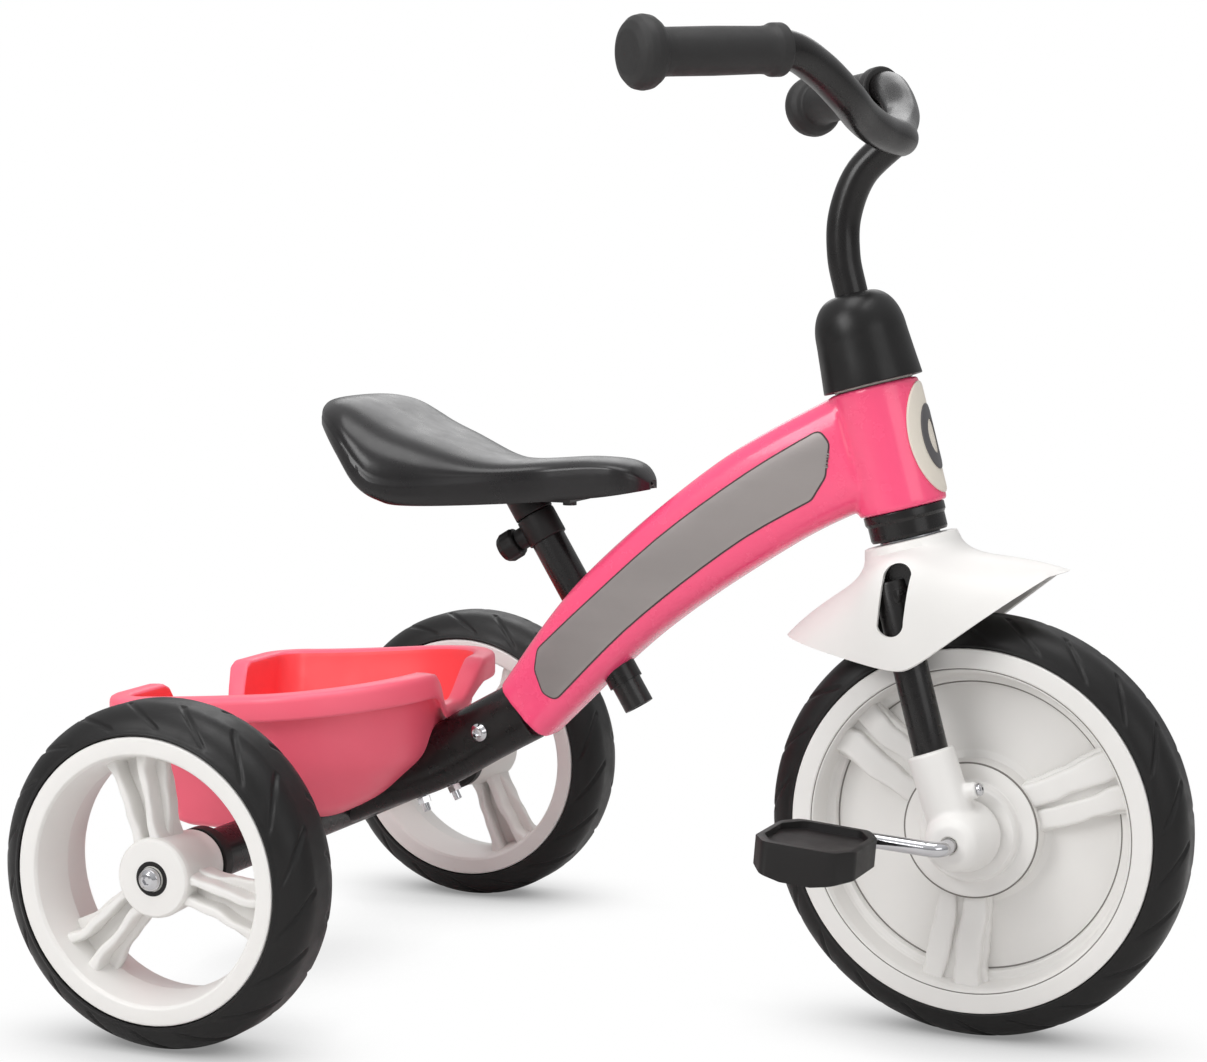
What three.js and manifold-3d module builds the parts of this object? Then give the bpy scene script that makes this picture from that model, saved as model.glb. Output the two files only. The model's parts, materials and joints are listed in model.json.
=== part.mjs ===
// A children's tricycle: a curved beam frame with a rear basket, three plastic wheels,
// and pedals on the front wheel.
// Millimetres. +X is forward, +Y is the rider's left, +Z is up. The ground is z = 0.
// Everything is laid out with x = 0 on the rear axle; the last lines centre the whole tricycle over the origin.
import * as THREE from "three";
import { mergeVertices } from "three/addons/utils/BufferGeometryUtils.js";
import Module from "manifold-3d";

const wasm = await Module();
wasm.setup();

// ---- Driving dimensions ----
const GAP = 0.3; // clearance between neighbouring pieces
const FINEST = 0.03; // slivers thinner than this are taken away
const REAR_R = 103.4; // 8-inch rear wheels
const FRONT_R = 127; // 10-inch front wheel
const WHEELBASE = 433.4;
const REAR_WHEEL_Y = 213.2; // centre plane of each rear wheel
const REAR_TYRE_HALF = 26.9;
const REAR_RIM_R = 85.4;
const REAR_SIDES = 28; // flats round each wheel
const FRONT_SIDES = 32;
const REAR_HUB_R = 24;
const REAR_HUB_OUT = 17.5; // hub face outboard of the wheel's centre plane
const REAR_HUB_IN = 33; // hub end inboard of it
const REAR_SPOKE_DEG = { right: 104.5, left: 55 };
const FRONT_TYRE_HALF = 25;
const FRONT_RIM_R = 109.2;
const FRONT_RIM_HALF = 27;
const FRONT_SPOKE_DEG = 23;
const RAKE = THREE.MathUtils.degToRad(14.8); // steering axis leans back from the vertical
const BAR_TURN = THREE.MathUtils.degToRad(6); // the bar is clamped a little to the left
const HEAD_R = 26.8;
const HEAD_LOW = 193.9; // heights on the steering axis are measured from the front axle
const HEAD_TOP = 269.5;
const STEERER_R = 14;
const STEM_R = 10;
const BAR_R = 10.7;
const LEG_R = 10.5;
const LEG_Y = 43;
const LEG_BACK = 5; // fork legs sit behind the steering axis
const CROWN_LOW = 141;
const CROWN_TOP = 152;
const BEAM_WIDTH = 46;
const SPINE_HIGH = 40;
const SPINE_WIDE = 32;
const TUBE_R = 15; // rear axle tube
const TUBE_HALF = 176;
const ROD_R = 5; // rear axle rod
const POST_R = 9.6;
const SEAT_TUBE_R = 11.1;
const CLAMP_R = 12.6;
const POST_TILT = THREE.MathUtils.degToRad(31.2);
const CRANK_R = 4.5;
const CRANK_ARM = 60;
const CRANK_ANGLE = THREE.MathUtils.degToRad(176); // the right arm, from +X towards +Z
const PEDAL_INNER = 97;
const PEDAL_OUTER = 163;
const PEDAL_TILT = THREE.MathUtils.degToRad(5);

// ---- Materials ----
function plastic(color, roughness) {
  return new THREE.MeshStandardMaterial({ color, roughness, metalness: 0 });
}
function metal(color, roughness) {
  return new THREE.MeshStandardMaterial({ color, roughness, metalness: 1 });
}
const pink = plastic(0xf5527f, 0.3);
const coral = plastic(0xff5566, 0.4);
const white = plastic(0xe9e6e2, 0.4);
const black = plastic(0x1c1b1b, 0.35);
const satinBlack = plastic(0x232323, 0.55);
const rubber = plastic(0x1f1e1d, 0.6);
const grey = metal(0x9a9694, 0.45);
const chrome = metal(0xd0d0d0, 0.15);
const steel = metal(0x8d8f92, 0.35);
const cream = plastic(0xe2dcd2, 0.5);
const nylon = plastic(0xd8d8d2, 0.6);

// ---- Solids from three.js geometry ----
function onlyPositions(geometry) {
  const flat = geometry.index ? geometry.toNonIndexed() : geometry;
  return new THREE.BufferGeometry().setAttribute("position", flat.getAttribute("position").clone());
}
function solid(geometry) {
  const merged = mergeVertices(onlyPositions(geometry), 1e-3);
  const triVerts = new Uint32Array(merged.index.array);
  const vertProperties = new Float32Array(merged.attributes.position.array);
  const made = new wasm.Manifold(new wasm.Mesh({ numProp: 3, vertProperties, triVerts }));
  if (made.volume() > 0) return made;
  triVerts.reverse();
  return new wasm.Manifold(new wasm.Mesh({ numProp: 3, vertProperties, triVerts }));
}
function geometryOf(body) {
  const mesh = body.getMesh();
  const geometry = new THREE.BufferGeometry();
  geometry.setAttribute("position", new THREE.BufferAttribute(new Float32Array(mesh.vertProperties), 3));
  geometry.setIndex(new THREE.BufferAttribute(new Uint32Array(mesh.triVerts), 1));
  geometry.computeVertexNormals();
  return geometry;
}
function addPart(parent, name, body, material) {
  const mesh = new THREE.Mesh(geometryOf(body.asOriginal().simplify(FINEST)), material);
  mesh.name = name;
  parent.add(mesh);
  return mesh;
}
function join(...bodies) {
  return bodies.reduce((whole, body) => whole.add(body));
}
function cut(body, ...tools) {
  return tools.reduce((rest, tool) => rest.subtract(tool), body);
}

// ---- Shape helpers ----
const v3 = (x, y, z) => new THREE.Vector3(x, y, z);
const v2 = (x, y) => new THREE.Vector2(x, y);
const deg = THREE.MathUtils.degToRad;

// A round bar from one point to another.
function rod(from, to, radius, segments = 16, endRadius = radius) {
  const along = to.clone().sub(from);
  const geometry = new THREE.CylinderGeometry(endRadius, radius, along.length(), segments);
  geometry.applyQuaternion(new THREE.Quaternion().setFromUnitVectors(v3(0, 1, 0), along.normalize()));
  const middle = from.clone().add(to).multiplyScalar(0.5);
  return solid(geometry.translate(middle.x, middle.y, middle.z));
}
function rodY(x, z, y0, y1, radius, segments = 16, endRadius = radius) {
  return rod(v3(x, y0, z), v3(x, y1, z), radius, segments, endRadius);
}
function rodZ(z0, z1, radius, segments = 20, endRadius = radius) {
  return rod(v3(0, 0, z0), v3(0, 0, z1), radius, segments, endRadius);
}
function block(x0, x1, y0, y1, z0, z1) {
  const geometry = new THREE.BoxGeometry(x1 - x0, y1 - y0, z1 - z0);
  return solid(geometry.translate((x0 + x1) / 2, (y0 + y1) / 2, (z0 + z1) / 2));
}
// A profile of (radius, height) points turned about +Z, or about +Y.
function turnedZ(profile, segments) {
  return solid(new THREE.LatheGeometry(profile, segments).rotateX(Math.PI / 2));
}
function turnedY(profile, segments) {
  return solid(new THREE.LatheGeometry(profile, segments));
}
// The same for a wheel: its flats, not its corners, lie on the true radius, and one of them faces the ground.
function wheelTurned(profile, segments) {
  const half = Math.PI / segments;
  const outside = profile.map((p) => v2(p.x / Math.cos(half), p.y));
  return solid(new THREE.LatheGeometry(outside, segments, half));
}
// A profile of (radius, distance) points turned about any line.
function turnedOn(foot, axis, profile, segments) {
  const geometry = new THREE.LatheGeometry(profile, segments);
  geometry.applyQuaternion(new THREE.Quaternion().setFromUnitVectors(v3(0, 1, 0), axis));
  return solid(geometry.translate(foot.x, foot.y, foot.z));
}
// A closed outline of (x, z) points, carried along Y.
function slabY(outline, y0, y1) {
  const geometry = new THREE.ExtrudeGeometry(new THREE.Shape(outline), { depth: y1 - y0, bevelEnabled: false });
  return solid(geometry.rotateX(Math.PI / 2).translate(0, y1, 0));
}
// A closed outline of (y, z) points, carried along X.
function slabX(outline, x0, x1) {
  const geometry = new THREE.ExtrudeGeometry(new THREE.Shape(outline), { depth: x1 - x0, bevelEnabled: false });
  return solid(geometry.rotateX(Math.PI / 2).rotateZ(Math.PI / 2).translate(x0, 0, 0));
}
// A closed outline of (x, y) points, carried along Z.
function slabZ(outline, z0, z1) {
  const geometry = new THREE.ExtrudeGeometry(new THREE.Shape(outline), { depth: z1 - z0, bevelEnabled: false });
  return solid(geometry.translate(0, 0, z0));
}
// A round bar through a list of points, which stays round in its bends.
function bentBar(points, radius, sides) {
  const rings = points.map((p, i) => {
    const before = p.clone().sub(points[Math.max(i - 1, 0)]).normalize();
    const after = points[Math.min(i + 1, points.length - 1)].clone().sub(p).normalize();
    return { centre: p, along: before.add(after).normalize() };
  });
  let side = Math.abs(rings[0].along.y) > 0.5 ? v3(1, 0, 0) : sidewards;
  const sections = rings.map(({ centre, along }) => {
    side = side.clone().addScaledVector(along, -side.dot(along)).normalize();
    return roundRing(centre, side, along.clone().cross(side), radius, radius, 2, sides);
  });
  return loft(sections);
}
// A skin over rings that hold equal numbers of points, closed at both ends, or joined end to end.
function loft(rings, endless = false) {
  const count = rings[0].length;
  const positions = [];
  const face = (a, b, c) => positions.push(...a.toArray(), ...b.toArray(), ...c.toArray());
  const last = endless ? rings.length : rings.length - 1;
  for (let i = 0; i < last; i++) {
    const here = rings[i];
    const next = rings[(i + 1) % rings.length];
    for (let j = 0; j < count; j++) {
      const k = (j + 1) % count;
      face(here[j], here[k], next[k]);
      face(here[j], next[k], next[j]);
    }
  }
  if (!endless) {
    for (const [ring, flip] of [[rings[0], true], [rings[rings.length - 1], false]]) {
      const centre = ring.reduce((sum, p) => sum.add(p), v3(0, 0, 0)).divideScalar(count);
      for (let j = 0; j < count; j++) {
        const k = (j + 1) % count;
        if (flip) face(centre, ring[k], ring[j]);
        else face(centre, ring[j], ring[k]);
      }
    }
  }
  const geometry = new THREE.BufferGeometry();
  geometry.setAttribute("position", new THREE.BufferAttribute(new Float32Array(positions), 3));
  return solid(geometry);
}
// A ring like a rounded rectangle: squareness 2 is an ellipse, and higher is squarer.
function roundRing(centre, u, v, halfU, halfV, squareness, count) {
  const power = (value) => Math.sign(value) * Math.abs(value) ** (2 / squareness);
  return Array.from({ length: count }, (_, i) => {
    const angle = (2 * Math.PI * (i + 0.5)) / count;
    return centre
      .clone()
      .addScaledVector(u, halfU * power(Math.cos(angle)))
      .addScaledVector(v, halfV * power(Math.sin(angle)));
  });
}
const sidewards = v3(0, 1, 0);

// Places on the steering axis: x is ahead of it, z is the distance up it from the front axle.
const steeringFrame = new THREE.Matrix4().makeRotationY(-RAKE).setPosition(WHEELBASE, 0, FRONT_R);
function steeringGroup() {
  const group = new THREE.Group();
  group.position.set(WHEELBASE, 0, FRONT_R);
  group.rotation.y = -RAKE;
  return group;
}
function inSteeringFrame(body) {
  return solid(geometryOf(body).applyMatrix4(steeringFrame));
}

const tricycle = new THREE.Group();

// ---- Main frame: a curved beam that ends in the head tube ----
const beamTop = new THREE.SplineCurve([v2(123.3, 194), v2(178.3, 264.4), v2(266.4, 338.3), v2(345, 383)]);
const beamBottom = new THREE.SplineCurve([v2(153.9, 161), v2(229.9, 231.9), v2(314.2, 289.7), v2(366, 316)]);
const SPINE_POINTS = [v2(-18, 102), v2(31, 123.9), v2(71, 140), v2(110, 162), v2(137.5, 177)];
const spineCentre = new THREE.SplineCurve(SPINE_POINTS);
const SPINE_BOLT = v2(110, 162.5);
const POST_FOOT = v2(149.7, 288.9); // a point on the seat post's axis, at the bracket's lower end
const postUp = v3(-Math.sin(POST_TILT), 0, Math.cos(POST_TILT));
function onPost(distance) {
  return v3(POST_FOOT.x, 0, POST_FOOT.y).addScaledVector(postUp, distance);
}

function beamBody() {
  const stations = 9;
  const rings = [];
  for (let i = 0; i <= stations; i++) {
    const top = beamTop.getPoint(i / stations);
    const bottom = beamBottom.getPoint(i / stations);
    const centre = v3((top.x + bottom.x) / 2, 0, (top.y + bottom.y) / 2);
    const up = v3(top.x - bottom.x, 0, top.y - bottom.y);
    const width = (BEAM_WIDTH - 4 * (1 - i / stations) ** 2) / 2;
    rings.push(roundRing(centre, up.clone().normalize(), sidewards, up.length() / 2, width, 3.6, 16));
  }
  return loft(rings);
}
// The tongue that plugs the beam into the spine.
function tongue(extra) {
  const from = v3(150, 0, 185);
  const to = v3(98, 0, 156.5);
  const along = to.clone().sub(from).normalize();
  const up = v3(-along.z, 0, along.x);
  const end = to.clone().addScaledVector(along, extra * 3);
  return loft([from, end].map((p) => roundRing(p, up, sidewards, 13 + extra, 9 + extra, 6, 16)));
}
const panelUpper = new THREE.SplineCurve([
  v2(153, 219),
  v2(187.7, 251),
  v2(238.5, 295.5),
  v2(293.5, 335),
  v2(338, 361.5),
]);
const panelLower = new THREE.SplineCurve([v2(333, 320), v2(284.3, 291.5), v2(217.2, 239.5), v2(165, 188)]);
const PANEL_FRONT = [v2(344, 354), v2(341.7, 334)];
const PANEL_REAR = [v2(157, 192), v2(151.5, 206)];
const PANEL_MIDDLE = v2(248, 279);
// The inlay's outline in side view, pushed out from its middle by a clearance.
function panelOutline(clearance) {
  const outline = [...panelUpper.getPoints(7), ...PANEL_FRONT, ...panelLower.getPoints(7), ...PANEL_REAR];
  return outline.map((p) => p.clone().add(p.clone().sub(PANEL_MIDDLE).setLength(clearance)));
}
const panelFace = BEAM_WIDTH / 2 + 0.6;
const panelBack = BEAM_WIDTH / 2 - 2.6;
function headBody() {
  return inSteeringFrame(rodZ(HEAD_LOW, HEAD_TOP, HEAD_R, 26));
}
function headBore() {
  const bore = join(
    rodZ(HEAD_LOW - 2, HEAD_TOP + 2, STEERER_R + 3, 18),
    rodZ(HEAD_LOW - 2, HEAD_LOW + 14, 20 + GAP, 18),
    rodZ(HEAD_TOP - 12, HEAD_TOP + 2, 20 + GAP, 18),
    rodZ(HEAD_TOP, HEAD_TOP + 20, HEAD_R + 4, 18),
  );
  return inSteeringFrame(bore);
}
const mainFrame = cut(
  join(beamBody(), headBody(), tongue(0)),
  headBore(),
  rod(onPost(-130), onPost(40), SEAT_TUBE_R + GAP, 16),
  slabY(panelOutline(0.5), -BEAM_WIDTH, -(panelBack - GAP)),
  slabY(panelOutline(0.5), panelBack - GAP, BEAM_WIDTH),
  rodY(SPINE_BOLT.x, SPINE_BOLT.y, -40, 40, 3 + GAP, 12),
);
addPart(tricycle, "main_frame", mainFrame, pink);
addPart(tricycle, "side_panel_right", slabY(panelOutline(0), -panelFace, -panelBack), grey);
addPart(tricycle, "side_panel_left", slabY(panelOutline(0), panelBack, panelFace), grey);

// ---- Head badge, cups and bushes ----
const head = steeringGroup();
tricycle.add(head);
function ellipseOutline(halfY, halfZ, centreZ, count = 24) {
  return new THREE.EllipseCurve(0, centreZ, halfY, halfZ, 0, 2 * Math.PI).getPoints(count).slice(0, count);
}
const BADGE_Z = (HEAD_LOW + HEAD_TOP) / 2 + 0.5;
function badgeShell(inner, outer, outline) {
  const sleeve = rodZ(HEAD_LOW, HEAD_TOP, outer, 48).subtract(rodZ(HEAD_LOW - 1, HEAD_TOP + 1, inner, 48));
  return sleeve.intersect(slabX(outline, 5, 40));
}
const plateOuter = HEAD_R + GAP + 1.3;
addPart(head, "head_badge", badgeShell(HEAD_R + GAP, plateOuter, ellipseOutline(21, 34.5, BADGE_Z)), cream);
const emblem = badgeShell(plateOuter + GAP, plateOuter + GAP + 0.8, ellipseOutline(12, 20, BADGE_Z)).subtract(
  slabX(ellipseOutline(6, 11, BADGE_Z), 5, 40),
);
addPart(head, "badge_emblem", emblem, grey);
const lowerCup = turnedZ(
  [
    v2(STEERER_R + GAP, HEAD_LOW - 16.6),
    v2(22.6, HEAD_LOW - 16.6),
    v2(23.4, HEAD_LOW - 15),
    v2(23.4, HEAD_LOW - 7),
    v2(24.6, HEAD_LOW - 5),
    v2(24.6, HEAD_LOW - GAP),
    v2(20, HEAD_LOW - GAP),
    v2(20, HEAD_LOW + 13),
    v2(STEERER_R + GAP, HEAD_LOW + 13),
    v2(STEERER_R + GAP, HEAD_LOW - 16.6),
  ],
  18,
);
addPart(head, "lower_head_cup", lowerCup, black);
const upperBush = turnedZ(
  [
    v2(STEERER_R + GAP, HEAD_TOP - 11),
    v2(20, HEAD_TOP - 11),
    v2(20, HEAD_TOP + GAP),
    v2(24, HEAD_TOP + GAP),
    v2(24, HEAD_TOP + 2.5),
    v2(STEERER_R + GAP, HEAD_TOP + 2.5),
    v2(STEERER_R + GAP, HEAD_TOP - 11),
  ],
  18,
);
addPart(head, "upper_head_bush", upperBush, nylon);

// ---- Rear spine and axle ----
const BASKET_BOLT_X = { front: 74, rear: 55 }; // where each bolt leaves the spine's underside
function spineFrameAt(t) {
  const p = spineCentre.getPoint(t);
  const tangent = spineCentre.getTangent(t);
  return { centre: v3(p.x, 0, p.y), up: v3(-tangent.y, 0, tangent.x) };
}
function spineBody(extraHigh, extraWide, rise = 0) {
  const stations = 8;
  const rings = [];
  for (let i = 0; i <= stations; i++) {
    const { centre, up } = spineFrameAt(i / stations);
    centre.addScaledVector(up, rise / 2);
    rings.push(
      roundRing(centre, up, sidewards, SPINE_HIGH / 2 + extraHigh + rise / 2, SPINE_WIDE / 2 + extraWide, 2.8, 14),
    );
  }
  return loft(rings);
}
// The bolts that hold the basket stand square to the spine.
function basketBoltLine(x) {
  const t = (x + 4) / 150;
  const { centre, up } = spineFrameAt(THREE.MathUtils.clamp(t, 0, 1));
  return { centre, up };
}
function basketBolt(x, from, to, radius, sides) {
  const { centre, up } = basketBoltLine(x);
  return rod(centre.clone().addScaledVector(up, from), centre.clone().addScaledVector(up, to), radius, sides);
}
// The rear end of the main frame's slanted face, moved back by a gap.
function behindBeam() {
  const face = [v2(153.4, 160), v2(121.2, 194.6)];
  const outline = [v2(60, 90), ...face, v2(100, 260), v2(-60, 260), v2(-60, 90)];
  return slabY(outline, -60, 60);
}
const spine = cut(
  spineBody(0, 0).intersect(behindBeam()),
  spineBody(-2.6, -2.6),
  tongue(GAP + 0.1),
  rodY(0, REAR_R, -60, 60, TUBE_R + GAP, 20),
  rodY(SPINE_BOLT.x, SPINE_BOLT.y, -40, 40, 3 + GAP, 12),
  basketBolt(BASKET_BOLT_X.front, -40, 40, 2.5 + GAP, 12),
  basketBolt(BASKET_BOLT_X.rear, -40, 40, 2.5 + GAP, 12),
);
addPart(tricycle, "rear_spine", spine, black);

const spineBoltProfile = [
  v2(0, -22),
  v2(3, -22),
  v2(3, 16.4),
  v2(5.6, 16.4),
  v2(5.6, 17.6),
  v2(3.2, 19.6),
  v2(0, 19.6),
];
const spineBolt = turnedOn(v3(SPINE_BOLT.x, 0, SPINE_BOLT.y), v3(0, -1, 0), spineBoltProfile, 14);
addPart(tricycle, "spine_bolt", spineBolt, chrome);
function nut(from, to, holeRadius, radius = 5) {
  return rod(from, to, radius, 6).subtract(
    rod(from.clone().lerp(to, -1), from.clone().lerp(to, 2), holeRadius, 12),
  );
}
const boltAt = (y) => v3(SPINE_BOLT.x, y, SPINE_BOLT.y);
addPart(tricycle, "spine_nut", nut(boltAt(16.4), boltAt(20.4), 3 + GAP, 5.5), chrome);

const tubeBore = rodY(0, REAR_R, -200, 200, TUBE_R - 1.6);
const axleTube = cut(rodY(0, REAR_R, -TUBE_HALF, TUBE_HALF, TUBE_R, 20), tubeBore);
addPart(tricycle, "rear_axle_tube", axleTube, black);
const hubInnerY = REAR_WHEEL_Y - REAR_HUB_IN;
const hubOuterY = REAR_WHEEL_Y + REAR_HUB_OUT;
addPart(tricycle, "rear_axle_rod", rodY(0, REAR_R, -(hubOuterY + 4.2), hubOuterY + 4.2, ROD_R, 12), steel);

function axleCollar(side) {
  const profile = [
    v2(TUBE_R + GAP, TUBE_HALF - 8),
    v2(18, TUBE_HALF - 8),
    v2(20, TUBE_HALF - 5),
    v2(20, hubInnerY - 0.6),
    v2(ROD_R + GAP, hubInnerY - 0.6),
    v2(ROD_R + GAP, TUBE_HALF + GAP),
    v2(TUBE_R + GAP, TUBE_HALF + GAP),
    v2(TUBE_R + GAP, TUBE_HALF - 8),
  ];
  return turnedY(profile.map((p) => v2(p.x, side * p.y)), 18);
}
// A domed nut on each end of the axle rod.
function capNut(side) {
  const face = hubOuterY + 0.5;
  const profile = [
    v2(ROD_R + GAP, face),
    v2(7.4, face),
    v2(7.4, face + 1.6),
    v2(6.4, face + 3.6),
    v2(4, face + 5.3),
    v2(0, face + 6),
    v2(0, face + 4.2),
    v2(ROD_R + GAP, face + 4.2),
    v2(ROD_R + GAP, face),
  ];
  return turnedY(profile.map((p) => v2(p.x, side * p.y)), 14);
}
for (const [name, side] of [["right", -1], ["left", 1]]) {
  addPart(tricycle, "axle_collar_" + name, axleCollar(side), black).position.set(0, 0, REAR_R);
  addPart(tricycle, "axle_cap_nut_" + name, capNut(side), chrome).position.set(0, 0, REAR_R);
}

// ---- Rear wheels ----
// Tyre section: straight beads on the rim, then round shoulders up to a narrow crown.
function tyreProfile(innerR, outerR, half, shoulder) {
  const corner = [];
  const steps = 4;
  for (let i = 0; i <= steps; i++) {
    const angle = (i / steps) * (Math.PI / 2);
    corner.push(v2(outerR - shoulder + shoulder * Math.sin(angle), half - shoulder + shoulder * Math.cos(angle)));
  }
  const oneSide = [v2(innerR, half - 0.8), ...corner.filter((p) => p.x > innerR + 1)];
  const otherSide = oneSide.map((p) => v2(p.x, -p.y)).reverse();
  return [...oneSide, ...otherSide, oneSide[0].clone()];
}
// Two thin ribs with a web between them, from the hub out to the rim, along +X before it is turned.
function spoke(shape, angle) {
  const rib = (side) =>
    slabY(
      [
        v2(shape.from, side * (shape.ribIn - 2)),
        v2(shape.to, side * (shape.ribOut - 2)),
        v2(shape.to, side * (shape.ribOut + 2.5)),
        v2(shape.from, side * (shape.ribIn + 2)),
      ],
      shape.low,
      shape.high,
    );
  const webOutline = [
    v2(shape.from, -shape.webIn),
    v2(shape.to, -shape.webOut),
    v2(shape.to, shape.webOut),
    v2(shape.from, shape.webIn),
  ];
  const web = slabY(webOutline, shape.webLow, shape.webHigh);
  return solid(geometryOf(join(rib(1), rib(-1), web)).rotateY(-angle));
}
// Where a spoke starts and ends, and half of what its ribs and web reach across it, at the hub and at the rim.
const REAR_SPOKE = {
  from: 18,
  to: 72.5,
  ribIn: 6.5,
  ribOut: 8.5,
  webIn: 11,
  webOut: 22,
  low: -15,
  high: 15,
  webLow: -3,
  webHigh: 3,
};
function rearRim(side, phase) {
  const face = REAR_TYRE_HALF + 0.4;
  const inside = [v2(74.5, face), v2(73.5, face - 2), v2(69.5, 0), v2(73.5, 2 - face), v2(74.5, -face)];
  const section = [v2(REAR_RIM_R, -face), v2(REAR_RIM_R, face), ...inside, v2(REAR_RIM_R, -face)];
  const barrel = wheelTurned(section, REAR_SIDES);
  const hub = rodY(0, 0, -side * REAR_HUB_IN, side * REAR_HUB_OUT, REAR_HUB_R, 20);
  const spokes = [0, 120, 240].map((turn) => spoke(REAR_SPOKE, phase + deg(turn)));
  return cut(
    join(barrel, hub, ...spokes),
    rodY(0, 0, -60, 60, ROD_R + GAP + 0.2, 10),
    rodY(0, 0, side * REAR_HUB_OUT - side * 12, side * 40, 8 + GAP, 14),
    rodY(0, 0, -side * REAR_HUB_IN + side * 12, -side * 50, 8 + GAP, 14),
  );
}
function bush(y0, y1) {
  return rodY(0, 0, y0, y1, 8, 14).subtract(rodY(0, 0, y0 - 1, y1 + 1, ROD_R + GAP, 12));
}
function rearWheel(name, side) {
  const wheel = new THREE.Group();
  wheel.position.set(0, side * REAR_WHEEL_Y, REAR_R);
  const tyre = wheelTurned(tyreProfile(REAR_RIM_R + GAP, REAR_R, REAR_TYRE_HALF, 20), REAR_SIDES);
  addPart(wheel, "rear_tyre_" + name, tyre, rubber);
  addPart(wheel, "rear_rim_" + name, rearRim(side, deg(REAR_SPOKE_DEG[name])), white);
  const outer = [side * REAR_HUB_OUT, side * (REAR_HUB_OUT - 11.5)].sort((a, b) => a - b);
  const inner = [-side * REAR_HUB_IN, -side * (REAR_HUB_IN - 11.5)].sort((a, b) => a - b);
  addPart(wheel, "wheel_bush_outer_" + name, bush(...outer), nylon);
  addPart(wheel, "wheel_bush_inner_" + name, bush(...inner), nylon);
  return wheel;
}
tricycle.add(rearWheel("right", -1), rearWheel("left", 1));

// ---- Basket: an open tub with a turned-down rim, straddling the spine and the axle tube ----
const BASKET_REAR = -101;
const BASKET_FRONT = 78;
const BASKET_HALF = 110;
const BASKET_FLOOR = 100;
const BASKET_WALL = 3;
const RIM_OUT = 11;
const RIM_DROP = 16;
const RIM_LOW = 186.5; // the rim's height at the rear
const RIM_RISE = 16; // how much higher it is at the front
function rimHeight(x) {
  const forward = Math.max(0, (x - BASKET_REAR) / (BASKET_FRONT - BASKET_REAR));
  return RIM_LOW + RIM_RISE * forward ** 1.3;
}
// Plan outline: a rounded rectangle whose front corners are cut back more than its rear ones.
function basketPlan(rear, front, half, count = 4) {
  const rearCorner = 18;
  const points = [];
  const corner = (cx, cy, rx, ry, from) => {
    for (let i = 0; i <= count; i++) {
      const angle = from + (i / count) * (Math.PI / 2);
      points.push(v2(cx + rx * Math.cos(angle), cy + ry * Math.sin(angle)));
    }
  };
  const noseX = (front - rear) * 0.42;
  const noseY = half * 0.75;
  corner(front - noseX, half - noseY, noseX, noseY, 0);
  corner(rear + rearCorner, half - rearCorner, rearCorner, rearCorner, Math.PI / 2);
  corner(rear + rearCorner, rearCorner - half, rearCorner, rearCorner, Math.PI);
  corner(front - noseX, noseY - half, noseX, noseY, 1.5 * Math.PI);
  return points;
}
// How the tub draws in below its rim: height, then how far the front, the rear and the sides are set in.
// The last level stands for the rim, whatever height the rim has there.
const RIM_LEVEL = 190;
const BASKET_LEVELS = [
  [BASKET_FLOOR, 78, 22, 33],
  [103, 66, 17, 29],
  [116, 41, 13, 25],
  [130, 24, 10, 21],
  [146, 8, 7, 15],
  [165, 3, 3, 7],
  [RIM_LEVEL, 0, 0, 0],
];
function basketRing(level, shrink) {
  const [z, front, rear, side] = level;
  const plan = basketPlan(BASKET_REAR + rear + shrink, BASKET_FRONT - front - shrink, BASKET_HALF - side - shrink);
  return plan.map((p) => v3(p.x, p.y, z >= RIM_LEVEL ? rimHeight(p.x) + (z - RIM_LEVEL) : z));
}
function basketHull(shrink, extra) {
  const [floor, ...higher] = BASKET_LEVELS;
  const levels = [[floor[0] + (shrink ? BASKET_WALL : 0), ...floor.slice(1)], ...higher];
  const rings = levels.map((level) => basketRing(level, shrink));
  if (extra) rings.push(basketRing([RIM_LEVEL + extra, 0, 0, 0], shrink));
  return loft(rings);
}
function rimBand(out, low, high) {
  const ring = basketRing([RIM_LEVEL, -out, -out, -out], 0);
  return loft([low, high].map((dz) => ring.map((p) => p.clone().setZ(p.z + dz))));
}
function basketBody() {
  const outer = basketHull(0, 0);
  const shell = outer.subtract(basketHull(BASKET_WALL, 20));
  const ridge = (extra) => join(spineBody(extra, extra), axleHump(extra));
  const humps = outer.intersect(ridge(BASKET_WALL + 1.2));
  const lip = rimBand(RIM_OUT, -RIM_DROP, 0).subtract(rimBand(RIM_OUT - 2.6, -RIM_DROP - 1, -BASKET_WALL));
  const lipRing = lip.subtract(basketHull(BASKET_WALL, 20));
  const rearDip = slabX(dipOutline(50, 36, 152), BASKET_REAR - 40, BASKET_REAR + 32);
  const frontDip = slabX(dipOutline(38, 10, 178), BASKET_FRONT - 25, BASKET_FRONT + 40);
  const holes = Object.values(BASKET_BOLT_X).map((x) => basketBolt(x, -40, 60, 2.5 + GAP, 12));
  const legs = slabZ([v2(-15.8, -130), v2(15.8, -130), v2(15.8, 130), v2(-15.8, 130)], 60, REAR_R);
  const spineSlot = block(-32, 120, -SPINE_WIDE / 2 - 1, SPINE_WIDE / 2 + 1, 40, 112);
  return cut(join(shell, humps, lipRing), ridge(1.2), legs, spineSlot, rearDip, frontDip, ...holes);
}
function axleHump(extra) {
  return join(
    rodY(0, REAR_R, -130, 130, TUBE_R + extra, 24),
    block(-TUBE_R - extra, TUBE_R + extra, -130, 130, 60, REAR_R),
  );
}
function dipOutline(topHalf, bottomHalf, low) {
  const high = 230;
  const oneSide = [v2(bottomHalf, low), v2(topHalf, 186), v2(topHalf + 14, high)];
  const otherSide = oneSide.map((p) => v2(-p.x, p.y)).reverse();
  return [...otherSide, ...oneSide];
}
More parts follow.
